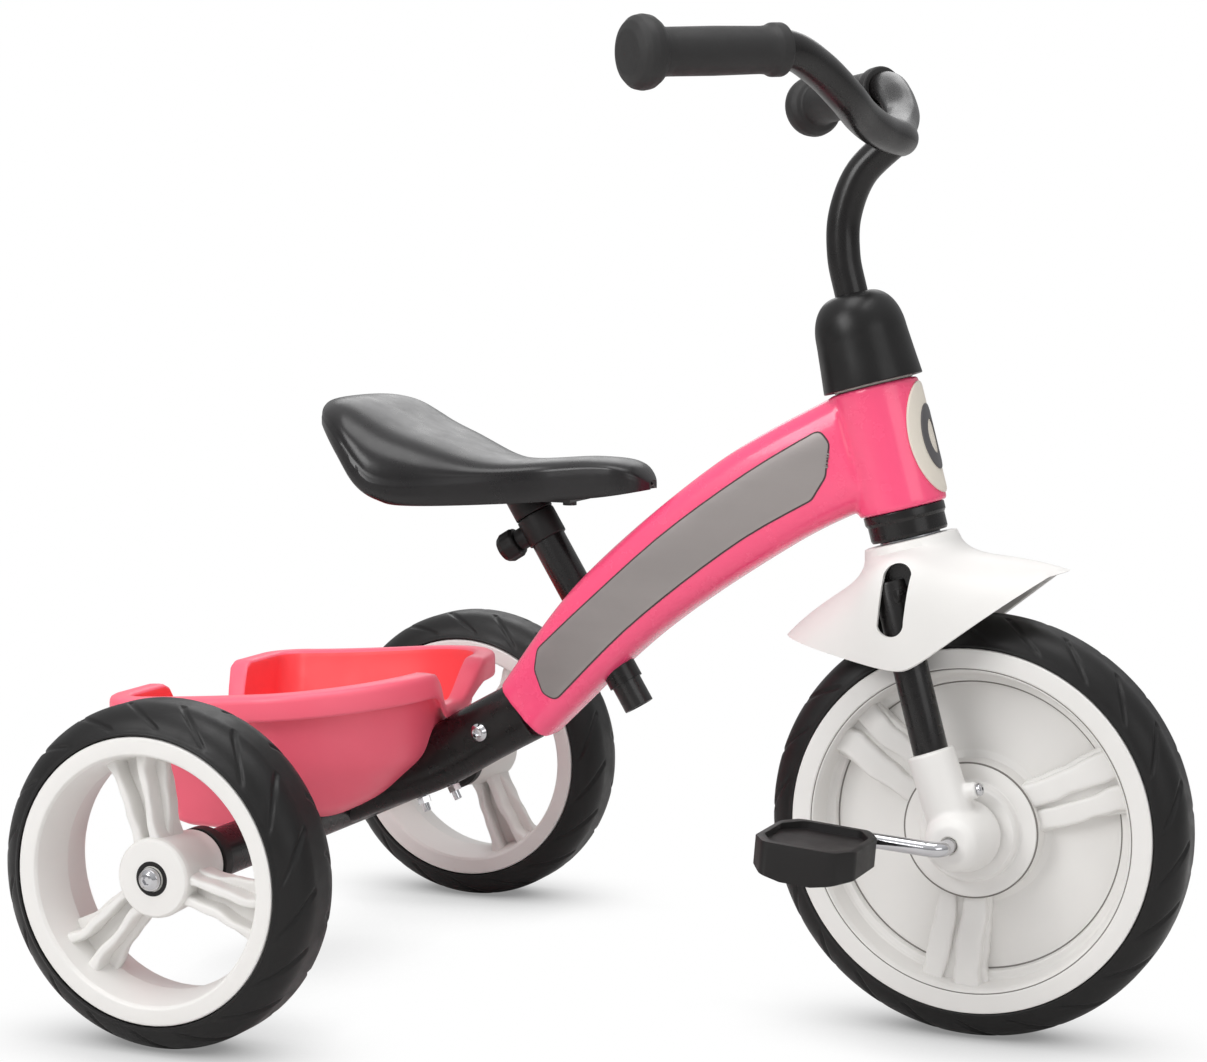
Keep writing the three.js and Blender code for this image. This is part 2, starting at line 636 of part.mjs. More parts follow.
addPart(tricycle, "basket", basketBody(), coral);
for (const [name, x] of Object.entries(BASKET_BOLT_X)) {
  const { centre, up } = basketBoltLine(x);
  const profile = [v2(0, -30), v2(2.5, -30), v2(2.5, 25.2), v2(5, 25.2), v2(5, 27), v2(3.4, 28.6), v2(0, 28.6)];
  addPart(tricycle, "basket_bolt_" + name, turnedOn(centre, up, profile, 12), chrome);
  const at = (d) => centre.clone().addScaledVector(up, d);
  addPart(tricycle, "basket_nut_" + name, nut(at(-24.4), at(-20.4), 2.5 + GAP, 4.6), chrome);
}

// ---- Seat tube, seat post and saddle ----
const seatTubeBore = rod(onPost(-130), onPost(30), POST_R + GAP, 14);
const seatTube = cut(rod(onPost(-106), onPost(11), SEAT_TUBE_R), seatTubeBore);
addPart(tricycle, "seat_tube", seatTube, black);
const POST_TOP = 19.5;
const POST_LOW = -123;
const postMouth = rod(onPost(-130), onPost(-108), POST_R - 2, 12);
const post = cut(rod(onPost(POST_LOW), onPost(POST_TOP), POST_R, 14), postMouth);
addPart(tricycle, "seat_post", post, satinBlack);

// The clamp at the top of the seat tube, with an ear that holds the knob's screw.
const knobAxis = v3(-Math.cos(POST_TILT), 0, -Math.sin(POST_TILT));
const knobFoot = onPost(6);
function onKnob(distance) {
  return knobFoot.clone().addScaledVector(knobAxis, distance);
}
const clamp = cut(
  join(rod(onPost(-3), onPost(15), CLAMP_R, 18), rod(onKnob(8), onKnob(18), 7, 14)),
  rod(onPost(-10), onPost(11 + GAP), SEAT_TUBE_R + GAP, 16),
  rod(onPost(5), onPost(40), POST_R + GAP, 14),
  rod(onKnob(13), onKnob(40), 3 + GAP, 10),
);
addPart(tricycle, "seat_clamp", clamp, black);
const knobProfile = [v2(0, 14), v2(3, 14), v2(3, 18.5), v2(9.6, 18.5), v2(9.6, 29), v2(6.5, 32), v2(0, 32)];
const knob = turnedOn(knobFoot, knobAxis, knobProfile, 16);
addPart(tricycle, "seat_knob", knob, black);

const seat = new THREE.Group();
tricycle.add(seat);
const SADDLE_REAR = 2;
const SADDLE_TIP = 223;
const saddleTop = new THREE.SplineCurve([
  v2(2, 366),
  v2(10, 375),
  v2(36, 376),
  v2(76, 359),
  v2(125, 338.5),
  v2(185, 340),
  v2(212, 337),
  v2(223, 326),
]);
// Where the top turns over into the side, and the side's lower edge, which rises over the rear.
const saddleEdge = new THREE.SplineCurve([
  v2(2, 364),
  v2(20, 362),
  v2(36, 352),
  v2(50, 338),
  v2(66, 327),
  v2(100, 326),
  v2(150, 329),
  v2(200, 332),
  v2(223, 323),
]);
const saddleSkirt = new THREE.SplineCurve([
  v2(2, 360),
  v2(18, 356),
  v2(34, 341),
  v2(50, 323),
  v2(66, 313.5),
  v2(84, 310.5),
  v2(140, 311),
  v2(190, 315.5),
  v2(223, 320.5),
]);
function heightOn(curve, x) {
  const points = curve.getPoints(60);
  const after = points.findIndex((p) => p.x >= x);
  if (after <= 0) return points[after < 0 ? points.length - 1 : 0].y;
  const [a, b] = [points[after - 1], points[after]];
  return a.y + ((b.y - a.y) * (x - a.x)) / (b.x - a.x);
}
// Half-width of the saddle: a broad round rear that draws in to a narrow nose.
function saddleHalf(x) {
  const widest = 62;
  const nose = 22;
  const behind = (widest - Math.min(x, widest)) / (widest - SADDLE_REAR + 0.3);
  const rear = 73 * Math.sqrt(Math.max(0, 1 - behind ** 2));
  const waist = THREE.MathUtils.smoothstep(x, widest - 4, 165);
  const tip = Math.sqrt(Math.max(0, 1 - (Math.max(0, x - 200) / (SADDLE_TIP - 200 + 0.3)) ** 2));
  return (rear * (1 - waist) + nose * waist) * tip;
}
function saddleRing(x, shrink, drop) {
  const half = Math.max(saddleHalf(x) - shrink, 1.2);
  const top = heightOn(saddleTop, x) - shrink;
  const edge = heightOn(saddleEdge, x) - shrink;
  const skirt = heightOn(saddleSkirt, x) - drop;
  const over = [];
  const arc = 8;
  for (let i = 0; i <= arc; i++) {
    const angle = Math.PI * (i / arc);
    over.push(v3(x, half * Math.cos(angle) * 0.985, edge + (top - edge) * Math.sin(angle) ** 0.8));
  }
  const middle = (edge + skirt) / 2;
  const rightSide = [v3(x, -half, middle), v3(x, -half * 0.96, skirt)];
  const leftSide = [v3(x, half * 0.96, skirt), v3(x, half, middle)];
  return [...over, ...rightSide, ...leftSide];
}
function saddleBody(shrink, drop) {
  const xs = [0, 3, 12, 28, 52, 80, 110, 140, 175, 200, 213, 221.5];
  const inset = shrink ? 4 : 0;
  const from = SADDLE_REAR + 0.5 + inset;
  const to = SADDLE_TIP - 0.5 - inset;
  return loft(xs.map((x) => saddleRing(from + (x / 221.5) * (to - from), shrink, drop)));
}
const PLATE_LOW = 311.5; // the steel plate under the saddle
const PLATE_TOP = 314.5;
const seatScrewX = { rear: 102, front: 166 };
const screwLine = (x, low, high, radius, sides) => rod(v3(x, 0, low), v3(x, 0, high), radius, sides);
function screwBosses() {
  return join(...Object.values(seatScrewX).map((x) => screwLine(x, PLATE_TOP + GAP, 345, 6.5, 14)));
}
const screwHoles = Object.values(seatScrewX).map((x) => screwLine(x, 300, 326, 2.2 + GAP, 10));
const saddleShell = saddleBody(0, 0).subtract(saddleBody(4, 30));
const bossesInside = saddleBody(2, 0).intersect(screwBosses());
addPart(seat, "saddle", cut(join(saddleShell, bossesInside), ...screwHoles), black);
addPart(seat, "seat_plate", cut(block(95, 173, -16, 16, PLATE_LOW, PLATE_TOP), ...screwHoles), steel);
for (const [name, x] of Object.entries(seatScrewX)) {
  const profile = [v2(0, 308.6), v2(4.4, 308.6), v2(4.4, 311.2), v2(2.2, 311.2), v2(2.2, 324), v2(0, 324)];
  addPart(seat, "saddle_screw_" + name, turnedOn(v3(x, 0, 0), v3(0, 0, 1), profile, 12), steel);
}
const bracket = cut(
  rod(onPost(15.4), onPost(45), CLAMP_R, 18),
  block(60, 240, -30, 30, PLATE_LOW - GAP, 360),
  rod(onPost(5), onPost(POST_TOP + GAP), POST_R + GAP, 14),
);
addPart(seat, "seat_bracket", bracket, black);

// ---- Steering: steerer, crown, legs, fender and axle housings ----
const steering = steeringGroup();
tricycle.add(steering);
const NUT_LOW = HEAD_TOP + 2.8;
const STEERER_TOP = NUT_LOW + 14;
const stemRoom = rodZ(230, STEERER_TOP + 1, STEM_R + GAP, 16);
const steerer = rodZ(CROWN_TOP + GAP, STEERER_TOP, STEERER_R, 18).subtract(stemRoom);
addPart(steering, "steerer", steerer, steel);
addPart(
  steering,
  "headset_nut",
  rodZ(NUT_LOW, NUT_LOW + 9, 20, 6).subtract(rodZ(NUT_LOW - 1, NUT_LOW + 20, STEERER_R + GAP, 18)),
  steel,
);
const crownOutline = new THREE.Shape().absellipse(-2, 0, 16, LEG_Y + LEG_R - 0.5, 0, 2 * Math.PI).getPoints(12);
addPart(steering, "fork_crown", slabZ(crownOutline.slice(0, -1), CROWN_LOW, CROWN_TOP), black);

const HOUSING_TOP = 53;
const BOSS_PROFILE = [
  v2(0, 31),
  v2(21.5, 31),
  v2(21.5, 35),
  v2(18.5, 45),
  v2(17, 58),
  v2(15, 64),
  v2(11, 67),
  v2(0, 67.6),
];
function housing(side) {
  const y = side * LEG_Y;
  const sleeve = rod(v3(-LEG_BACK, y + side, HOUSING_TOP), v3(-1, y + side * 3, 4), 14, 18, 14.6);
  const boss = turnedY(BOSS_PROFILE.map((p) => v2(p.x, side * p.y)), 16);
  const ear = rod(v3(8, y + side * 2, 26), v3(18, y + side * 2, 26), 5, 14);
  return cut(
    join(sleeve, boss, ear),
    rod(v3(-LEG_BACK, y, 16), v3(-LEG_BACK, y, 90), LEG_R + GAP, 16),
    rodY(0, 0, side * 20, side * 90, 8 + GAP, 14),
    rod(v3(10, y + side * 2, 26), v3(30, y + side * 2, 26), 2 + GAP, 10),
  );
}
for (const [name, side] of [["right", -1], ["left", 1]]) {
  const y = side * LEG_Y;
  const leg = cut(
    rod(v3(-LEG_BACK, y, 17), v3(-LEG_BACK, y, CROWN_LOW - GAP), LEG_R, 16),
    rod(v3(-LEG_BACK, y, 10), v3(-LEG_BACK, y, 160), LEG_R - 1.6, 12),
  );
  addPart(steering, "fork_leg_" + name, leg, black);
  addPart(steering, "axle_housing_" + name, housing(side), white);
  const screwY = y + side * 2;
  const profile = [v2(0, 12), v2(2, 12), v2(2, 18.4), v2(3.8, 18.4), v2(3.8, 20), v2(2.6, 21), v2(0, 21)];
  addPart(steering, "housing_screw_" + name, turnedOn(v3(0, screwY, 26), v3(1, 0, 0), profile, 12), chrome);
  const crankRoom = rodY(0, 0, side * 30, side * 70, CRANK_R + GAP, 12);
  const bushing = rodY(0, 0, side * 34, side * 66, 8, 14).subtract(crankRoom);
  addPart(steering, "axle_bush_" + name, bushing, nylon);
}

// Fender: a collar that flares into a point ahead and behind, with a lobe down over each leg.
const FENDER_TIP = 90;
const FENDER_SIDE = 60;
const FENDER_TOP = 175.5;
const LOBE_LOW = 104; // the lowest point of the lobe over each leg
const TIP_RISE = 31.5; // how much higher the tips are
const LOBE_ROUND = 16;
function fenderEdge(angle) {
  const c = Math.abs(Math.cos(angle));
  const s = Math.abs(Math.sin(angle));
  const pointed = 1.6; // below 2, an ellipse whose ends come to a point
  const r = 1 / ((c / FENDER_TIP) ** pointed + (s / FENDER_SIDE) ** pointed) ** (1 / pointed);
  const ahead = r * Math.cos(angle) + LEG_BACK;
  const whole = Math.hypot(FENDER_TIP - 6, LOBE_ROUND) - LOBE_ROUND;
  const reach = (Math.hypot(ahead, LOBE_ROUND) - LOBE_ROUND) / whole;
  return v2(r, LOBE_LOW + TIP_RISE * Math.min(1.04, reach) ** 0.85);
}
const ovalAt = (angle, along, across) => 1 / Math.hypot(Math.cos(angle) / along, Math.sin(angle) / across);
// The fender's section at an angle round the steering axis: a collar, then a flare, or a bulge over each leg.
function fenderLine(angle, inset) {
  const edge = fenderEdge(angle);
  const shoulder = 157 + 14 * Math.sin(angle) ** 8;
  const curve = new THREE.CubicBezierCurve(
    v2(29.2 - inset, 171 - inset),
    v2(ovalAt(angle, 31, 60) - inset, shoulder - inset),
    v2(ovalAt(angle, 40, 61) - inset, 152 - inset),
    v2(edge.x - inset, edge.y),
  );
  return curve.getPoints(4);
}
function fenderBody() {
  const wall = 2.6;
  const count = 26;
  const rings = [];
  for (let i = 0; i < count; i++) {
    const angle = (2 * Math.PI * i) / count;
    const outer = fenderLine(angle, 0);
    const inner = fenderLine(angle, wall).reverse();
    const start = [v2(STEERER_R + 1, FENDER_TOP), v2(28.2, FENDER_TOP)];
    const section = [...start, ...outer, ...inner, v2(STEERER_R + 1, 171 - wall)];
    rings.push(section.map((p) => v3(p.x * Math.cos(angle), p.x * Math.sin(angle), p.y)));
  }
  return loft(rings, true);
}
function pill(centreX, centreZ, half, radius) {
  const shape = new THREE.Shape();
  shape.absarc(centreX, centreZ + half - radius, radius, 0, Math.PI);
  shape.absarc(centreX, centreZ - half + radius, radius, Math.PI, 2 * Math.PI);
  return shape.getPoints(8);
}
const fenderSlot = pill(-LEG_BACK, 144, 20, 8).slice(0, -1);
const fender = cut(fenderBody(), slabY(fenderSlot, -80, -48), slabY(fenderSlot, 48, 80));
addPart(steering, "front_fender", fender, white);

// ---- Handlebar, clamped in the steerer ----
const bar = new THREE.Group();
bar.rotation.z = BAR_TURN;
steering.add(bar);
const capProfile = [
  v2(STEM_R + 0.6, 326),
  v2(14, 325.4),
  v2(19.5, 322.4),
  v2(24.5, 316.5),
  v2(27.2, 308),
  v2(28, 300),
  v2(29, 286),
  v2(30.2, HEAD_TOP + 1.2),
  v2(27.4, HEAD_TOP + 1.2),
  v2(25.2, 300),
  v2(22, 312),
  v2(14, 321),
  v2(STEM_R + 0.6, 322),
  v2(STEM_R + 0.6, 326),
];
addPart(bar, "headset_cap", turnedZ(capProfile, 20), satinBlack);
const stemPath = new THREE.CatmullRomCurve3(
  [v3(0, 0, 240), v3(0, 0, 324), v3(0, 0, 340), v3(6, 0, 370), v3(23, 0, 395), v3(47, 0, 408)],
  false,
  "centripetal",
);
const barHalf = [
  v3(50, 0, 408.5),
  v3(45.5, 28, 412),
  v3(41.8, 56, 420),
  v3(40.5, 84, 430.5),
  v3(34.5, 112, 446),
];
const gripStart = v3(20.1, 143, 457.5);
const gripEnd = v3(-37.4, 205, 466.7);
const gripAlong = gripEnd.clone().sub(gripStart).normalize();
function mirrored(point) {
  return v3(point.x, -point.y, point.z);
}
const leftHalf = [...barHalf, gripStart.clone().addScaledVector(gripAlong, -8)];
const barCurve = new THREE.CatmullRomCurve3(
  [...leftHalf.slice(1).reverse().map(mirrored), ...leftHalf],
  false,
  "centripetal",
);
const barEnd = gripEnd.clone().addScaledVector(gripAlong, -6);
const barPoints = [mirrored(barEnd), ...barCurve.getPoints(20), barEnd];
const barBore = bentBar([mirrored(gripEnd), ...barCurve.getPoints(14), gripEnd], BAR_R - 2, 6);
addPart(bar, "handlebar_tube", bentBar(barPoints, BAR_R, 10).subtract(barBore), black);
const barRoom = bentBar(barPoints, BAR_R + GAP, 10);
addPart(bar, "stem", bentBar(stemPath.getPoints(12), STEM_R, 12).subtract(barRoom), black);
function grip(side) {
  const profile = [
    v2(BAR_R + 1.2, -4),
    v2(14.8, -4),
    v2(14.8, 3),
    v2(13, 8),
    v2(13.5, 40),
    v2(13, 74),
    v2(19, 80),
    v2(20.4, 85),
    v2(18.6, 91),
    v2(11, 94),
    v2(0, 94.6),
    v2(0, 84),
    v2(BAR_R + 0.5, 84),
    v2(BAR_R + 0.5, 8),
    v2(BAR_R + 1.2, -4),
  ];
  const direction = side > 0 ? gripAlong : mirrored(gripAlong);
  const start = side > 0 ? gripStart : mirrored(gripStart);
  const turn = new THREE.Quaternion().setFromUnitVectors(v3(0, 1, 0), direction);
  const body = turnedY(profile, 14);
  return solid(geometryOf(body).applyQuaternion(turn).translate(start.x, start.y, start.z));
}
addPart(bar, "grip_right", grip(-1), rubber);
addPart(bar, "grip_left", grip(1), rubber);

// ---- Front wheel with its crank ----
const frontWheel = new THREE.Group();
frontWheel.position.set(WHEELBASE, 0, FRONT_R);
tricycle.add(frontWheel);
const frontTyre = wheelTurned(tyreProfile(FRONT_RIM_R + GAP, FRONT_R, FRONT_TYRE_HALF, 19), FRONT_SIDES);
addPart(frontWheel, "front_tyre", frontTyre, rubber);
const FRONT_SPOKE = {
  from: 36,
  to: 94.5,
  ribIn: 7,
  ribOut: 11,
  webIn: 14,
  webOut: 24,
  low: 3,
  high: 20,
  webLow: 3,
  webHigh: 12,
};
function frontRim() {
  const half = FRONT_RIM_HALF;
  const barrel = wheelTurned(
    [
      v2(FRONT_RIM_R, -half),
      v2(FRONT_RIM_R, half),
      v2(98, half),
      v2(96.5, half - 2),
      v2(91, 5),
      v2(40, 5),
      v2(40, 21),
      v2(22, 21),
      v2(22, 29.5),
      v2(0, 29.5),
      v2(0, -29.5),
      v2(22, -29.5),
      v2(22, -21),
      v2(40, -21),
      v2(40, -5),
      v2(91, -5),
      v2(96.5, 2 - half),
      v2(98, -half),
      v2(FRONT_RIM_R, -half),
    ],
    FRONT_SIDES,
  );
  const otherFace = { ...FRONT_SPOKE, low: -20, high: -3, webLow: -12, webHigh: -3 };
  const spokes = [];
  for (const turn of [0, 120, 240]) {
    spokes.push(spoke(FRONT_SPOKE, deg(FRONT_SPOKE_DEG + turn)));
    spokes.push(spoke(otherFace, deg(FRONT_SPOKE_DEG + turn)));
  }
  return join(barrel, ...spokes).subtract(rodY(0, 0, -60, 60, CRANK_R + GAP, 12));
}
addPart(frontWheel, "front_rim", frontRim(), white);

// The crank is one bent bar: pedal spindle, arm, axle through the hub, arm, pedal spindle.
const BEND = 9;
const ARM_Y = 82;
const SPINDLE_END = 154;
function crankPoints() {
  const armEnd = v3(CRANK_ARM * Math.cos(CRANK_ANGLE), 0, CRANK_ARM * Math.sin(CRANK_ANGLE));
  const corners = [
    armEnd.clone().setY(-SPINDLE_END),
    armEnd.clone().setY(-ARM_Y),
    v3(0, -ARM_Y, 0),
    v3(0, ARM_Y, 0),
    armEnd.clone().negate().setY(ARM_Y),
    armEnd.clone().negate().setY(SPINDLE_END),
  ];
  const path = [corners[0]];
  for (let i = 1; i < corners.length - 1; i++) {
    const before = corners[i].clone().lerp(corners[i - 1], BEND / corners[i].distanceTo(corners[i - 1]));
    const after = corners[i].clone().lerp(corners[i + 1], BEND / corners[i].distanceTo(corners[i + 1]));
    path.push(...new THREE.QuadraticBezierCurve3(before, corners[i], after).getPoints(4));
  }
  return [...path, corners[corners.length - 1]];
}
addPart(frontWheel, "crank_axle", bentBar(crankPoints(), CRANK_R, 10), chrome);

// ---- Pedals: shallow open blocks that are thicker under the spindle ----
function pedalBody() {
  const half = (PEDAL_OUTER - PEDAL_INNER) / 2;
  const long = 30;
  const section = [v2(-long, 9.5), v2(long, 9.5), v2(long, -7.5), v2(9, -14), v2(-9, -14), v2(-long, -7.5)];
  const plan = (inset) => {
    const x = long - inset;
    const y = half - inset;
    const rightEnd = [v2(9 - x, -y), v2(x - 9, -y), v2(x, 14 - y)];
    const leftEnd = [v2(x, y - 14), v2(x - 9, y), v2(9 - x, y)];
    return [...rightEnd, ...leftEnd, v2(-x, y - 14), v2(-x, 14 - y)];
  };
  const outside = slabY(section, -half, half).intersect(slabZ(plan(0), -40, 40));
  const floor = [v2(-long, 40), v2(long, 40), v2(long, -4), v2(9, -10), v2(-9, -10), v2(-long, -4)];
  const pocket = slabY(floor, -half, half).intersect(slabZ(plan(3), -40, 40));
  const barrel = rodY(0, 0, -half + 1, half - 18, 8, 12);
  return cut(join(outside.subtract(pocket), barrel), rodY(0, 0, -half - 5, half - 3, CRANK_R + GAP, 12));
}
for (const [name, side] of [["right", -1], ["left", 1]]) {
  const pedal = new THREE.Group();
  const reach = side < 0 ? 1 : -1;
  pedal.position.set(
    WHEELBASE + reach * CRANK_ARM * Math.cos(CRANK_ANGLE),
    (side * (PEDAL_INNER + PEDAL_OUTER)) / 2,
    FRONT_R + reach * CRANK_ARM * Math.sin(CRANK_ANGLE),
  );
  pedal.rotation.y = PEDAL_TILT;
  const body = side > 0 ? pedalBody() : solid(geometryOf(pedalBody()).rotateZ(Math.PI));
  addPart(pedal, "pedal_" + name, body, satinBlack);
  tricycle.add(pedal);
}

// Centre the length over the origin: the front tyre reaches further forward than the rear tyres reach back.
tricycle.position.x = -(WHEELBASE + FRONT_R - REAR_R) / 2;
const part = new THREE.Group();
part.add(tricycle);
export default part;
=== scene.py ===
"""Looks of a children's tricycle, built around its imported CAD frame. Lengths are in millimetres until a mesh is made.

Everything is laid out in the tricycle's own frame: x = 0 on the rear axle, +X forward, +Y to the rider's left.
"""

import json
import math

import bmesh
import bpy
import numpy as np
from mathutils import Matrix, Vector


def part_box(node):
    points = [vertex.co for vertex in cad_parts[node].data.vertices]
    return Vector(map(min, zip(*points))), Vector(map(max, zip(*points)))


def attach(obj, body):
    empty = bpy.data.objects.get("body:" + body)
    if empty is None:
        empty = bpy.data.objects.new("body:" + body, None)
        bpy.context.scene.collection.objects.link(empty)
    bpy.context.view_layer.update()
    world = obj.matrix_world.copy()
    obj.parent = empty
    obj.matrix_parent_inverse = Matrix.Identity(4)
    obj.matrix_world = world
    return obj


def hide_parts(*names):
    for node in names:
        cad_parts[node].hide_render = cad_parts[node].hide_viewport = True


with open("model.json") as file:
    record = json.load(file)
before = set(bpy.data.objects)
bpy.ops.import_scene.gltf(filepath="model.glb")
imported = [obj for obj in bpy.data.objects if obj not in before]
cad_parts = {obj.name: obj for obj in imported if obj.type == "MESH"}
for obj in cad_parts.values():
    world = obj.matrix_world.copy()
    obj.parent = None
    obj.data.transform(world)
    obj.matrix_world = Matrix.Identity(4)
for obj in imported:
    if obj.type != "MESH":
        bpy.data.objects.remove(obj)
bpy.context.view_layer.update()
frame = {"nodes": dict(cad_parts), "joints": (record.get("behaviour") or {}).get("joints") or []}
NODES = frame["nodes"]
JOINTS = {j["name"]: j for j in frame["joints"]}

# ---- Places that the CAD gives ----
rod_low, rod_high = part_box("rear_axle_rod")
REAR_X = (rod_low.x + rod_high.x) * 500
REAR_R = (rod_low.z + rod_high.z) * 500
FRONT_X, _, FRONT_R = [1000 * c for c in JOINTS["front_wheel_spin"]["pos_m"]]
FRONT_X -= REAR_X
WHEEL_Y = 1000 * JOINTS["rear_wheel_left_spin"]["pos_m"][1]
STEER_AXIS = JOINTS["steering_turn"]["axis"]
RAKE = math.atan2(-STEER_AXIS[0], STEER_AXIS[2])
POST_AXIS = np.array(JOINTS["seat_height"]["axis"], float)
POST_TILT = math.atan2(-POST_AXIS[0], POST_AXIS[2])
PEDAL = {s: np.array(JOINTS["pedal_%s_spin" % s]["pos_m"]) * 1000 - [REAR_X, 0, 0] for s in ("left", "right")}
ORIGIN = np.array([REAR_X, 0, 0])
SIDES = (("right", -1), ("left", 1))


# ---- Turning and placing ----
def shift(x, y, z):
    m = np.eye(4)
    m[:3, 3] = (x, y, z)
    return m


def turn(axis, angle):
    return np.array(Matrix.Rotation(angle, 4, axis))


def onto(foot, axis):
    """Takes +Z to an axis through a foot."""
    z = np.array(axis, float) / np.linalg.norm(axis)
    x = np.cross([0, 1, 0] if abs(z[1]) < 0.9 else [1, 0, 0], z)
    x /= np.linalg.norm(x)
    m = np.eye(4)
    m[:3, 0], m[:3, 1], m[:3, 2], m[:3, 3] = x, np.cross(z, x), z, foot
    return m


def moved(points, m):
    return np.asarray(points) @ m[:3, :3].T + m[:3, 3]


STEER = shift(FRONT_X, 0, FRONT_R) @ turn("Y", -RAKE)
BAR_TURN = math.radians(6)  # the handlebar is clamped a little to the left
BAR = STEER @ turn("Z", BAR_TURN)
TO_Y = np.array([[1, 0, 0, 0], [0, 0, 1, 0], [0, -1, 0, 0], [0, 0, 0, 1]], float)
LIE = np.array([[1, 0, 0, 0], [0, 0, -1, 0], [0, 1, 0, 0], [0, 0, 0, 1]], float)


def flipped(side):
    """Mirrors Z for the piece that faces the other way."""
    return np.diag([1, 1, side, 1.0])


# ---- Curves and profiles ----
def spline(points, count):
    """A smooth curve through points, evenly stepped between them."""
    p = np.array(points, float)
    t = np.linspace(0, len(p) - 1, count)
    i = np.minimum(t.astype(int), len(p) - 2)
    w = (t - i)[:, None]
    a, b, c, d = p[np.maximum(i - 1, 0)], p[i], p[i + 1], p[np.minimum(i + 2, len(p) - 1)]
    v0, v1 = (c - a) / 2, (d - b) / 2
    return (2 * b - 2 * c + v0 + v1) * w**3 + (-3 * b + 3 * c - 2 * v0 - v1) * w**2 + v0 * w + b


def evenly(points, count):
    """The same line with points an equal distance apart."""
    p = np.asarray(points, float)
    s = np.concatenate([[0], np.cumsum(np.linalg.norm(np.diff(p, axis=0), axis=1))])
    at = np.linspace(0, s[-1], count)
    return np.stack([np.interp(at, s, p[:, k]) for k in range(p.shape[1])], axis=1)


def fillet(points, radius, steps=4):
    """Rounds the corners of a line, or of an outline whose last point is its first."""
    p = [np.array(q, float) for q in points]
    closed = np.allclose(p[0], p[-1])
    out = []
    for i in range(len(p) - 1 if closed else len(p)):
        if not closed and i in (0, len(p) - 1):
            out.append(p[i])
            continue
        a, b = p[i - 1] if i else p[-2], p[i + 1]
        la, lb = np.linalg.norm(a - p[i]), np.linalg.norm(b - p[i])
        ua, ub = (a - p[i]) / la, (b - p[i]) / lb
        half = math.acos(np.clip(ua @ ub, -1, 1)) / 2
        if half > 1.5:
            out.append(p[i])
            continue
        cut = min(radius / math.tan(max(half, 0.05)), 0.48 * la, 0.48 * lb)
        for k in range(steps + 1):
            w = k / steps
            out.append((1 - w) ** 2 * (p[i] + ua * cut) + 2 * w * (1 - w) * p[i] + w**2 * (p[i] + ub * cut))
    if closed:
        out.append(out[0])
    return np.array(out)


def smooth_step(low, high, x):
    t = np.clip((np.asarray(x, float) - low) / (high - low), 0, 1)
    return t * t * (3 - 2 * t)


def wave(s, seed):
    """An uneven edge, as of a broken stone, between about -1 and 1."""
    return 0.6 * np.sin(s * 0.13 + seed) + 0.3 * np.sin(s * 0.25 + 2.3 * seed) + 0.14 * np.sin(s * 0.43 + 3.1 * seed)


# ---- Meshes as (points, faces) ----
def grid(rings, around=True, caps=False, endless=False):
    """A skin over rings that hold equal numbers of points."""
    r = np.asarray(rings, float)
    m, n = r.shape[:2]
    faces = []
    for i in range(m if endless else m - 1):
        a, b = i * n, ((i + 1) % m) * n
        for j in range(n if around else n - 1):
            k = (j + 1) % n
            faces.append((a + j, a + k, b + k, b + j))
    points = r.reshape(-1, 3)
    if caps:
        points = np.vstack([points, r[0].mean(0), r[-1].mean(0)])
        for j in range(n):
            k = (j + 1) % n
            faces.append((m * n, k, j))
            faces.append((m * n + 1, (m - 1) * n + j, (m - 1) * n + k))
    return points, faces


def lathe(profile, segments=96):
    """Turns a profile of (radius, height) points about Z."""
    p = np.asarray(profile, float)
    closed = np.allclose(p[0], p[-1])
    if closed:
        p = p[:-1]
    angle = np.linspace(0, 2 * math.pi, segments, endpoint=False)
    rings = [np.stack([r * np.cos(angle), r * np.sin(angle), np.full(segments, h)], axis=1) for r, h in p]
    return grid(rings, endless=closed)


def ring_section(inner, outer, low, high):
    """A plain ring's profile for lathe."""
    return [(inner, low), (outer, low), (outer, high), (inner, high), (inner, low)]


def oval(centre, u, v, half_u, half_v, power, count):
    """A loop round a centre in the plane of u and v: an ellipse at power 2, and squarer above it."""
    a = 2 * math.pi * (np.arange(count) + 0.5) / count
    c, s = np.cos(a), np.sin(a)
    x = half_u * np.sign(c) * np.abs(c) ** (2 / power)
    y = half_v * np.sign(s) * np.abs(s) ** (2 / power)
    return np.asarray(centre) + x[:, None] * np.asarray(u) + y[:, None] * np.asarray(v)


def tube(path, radius, sides=28, edge=1.0):
    """A round bar along a path, with its ends' edges rounded over."""
    p = np.asarray(path, float)
    d = np.gradient(p, axis=0)
    d /= np.linalg.norm(d, axis=1)[:, None]
    r = np.full(len(p), float(radius))
    start = [p[0], p[0] + d[0] * 0.3 * edge, p[0] + d[0] * edge]
    end = [p[-1] - d[-1] * edge, p[-1] - d[-1] * 0.3 * edge, p[-1]]
    p = np.vstack([*start, p[1:-1], *end])
    r = np.concatenate([[r[0] - edge, r[0] - 0.3 * edge, r[0]], r[1:-1], [r[-1], r[-1] - 0.3 * edge, r[-1] - edge]])
    d = np.vstack([d[0], d[0], d, d[-1], d[-1]])
    side = np.array([0.0, 1, 0]) if abs(d[0][1]) < 0.5 else np.array([1.0, 0, 0])
    a = np.linspace(0, 2 * math.pi, sides, endpoint=False)
    rings = []
    for centre, along, size in zip(p, d, r):
        side = side - along * (side @ along)
        side /= np.linalg.norm(side)
        other = np.cross(along, side)
        rings.append(centre + size * (np.cos(a)[:, None] * side + np.sin(a)[:, None] * other))
    return grid(rings, caps=True)


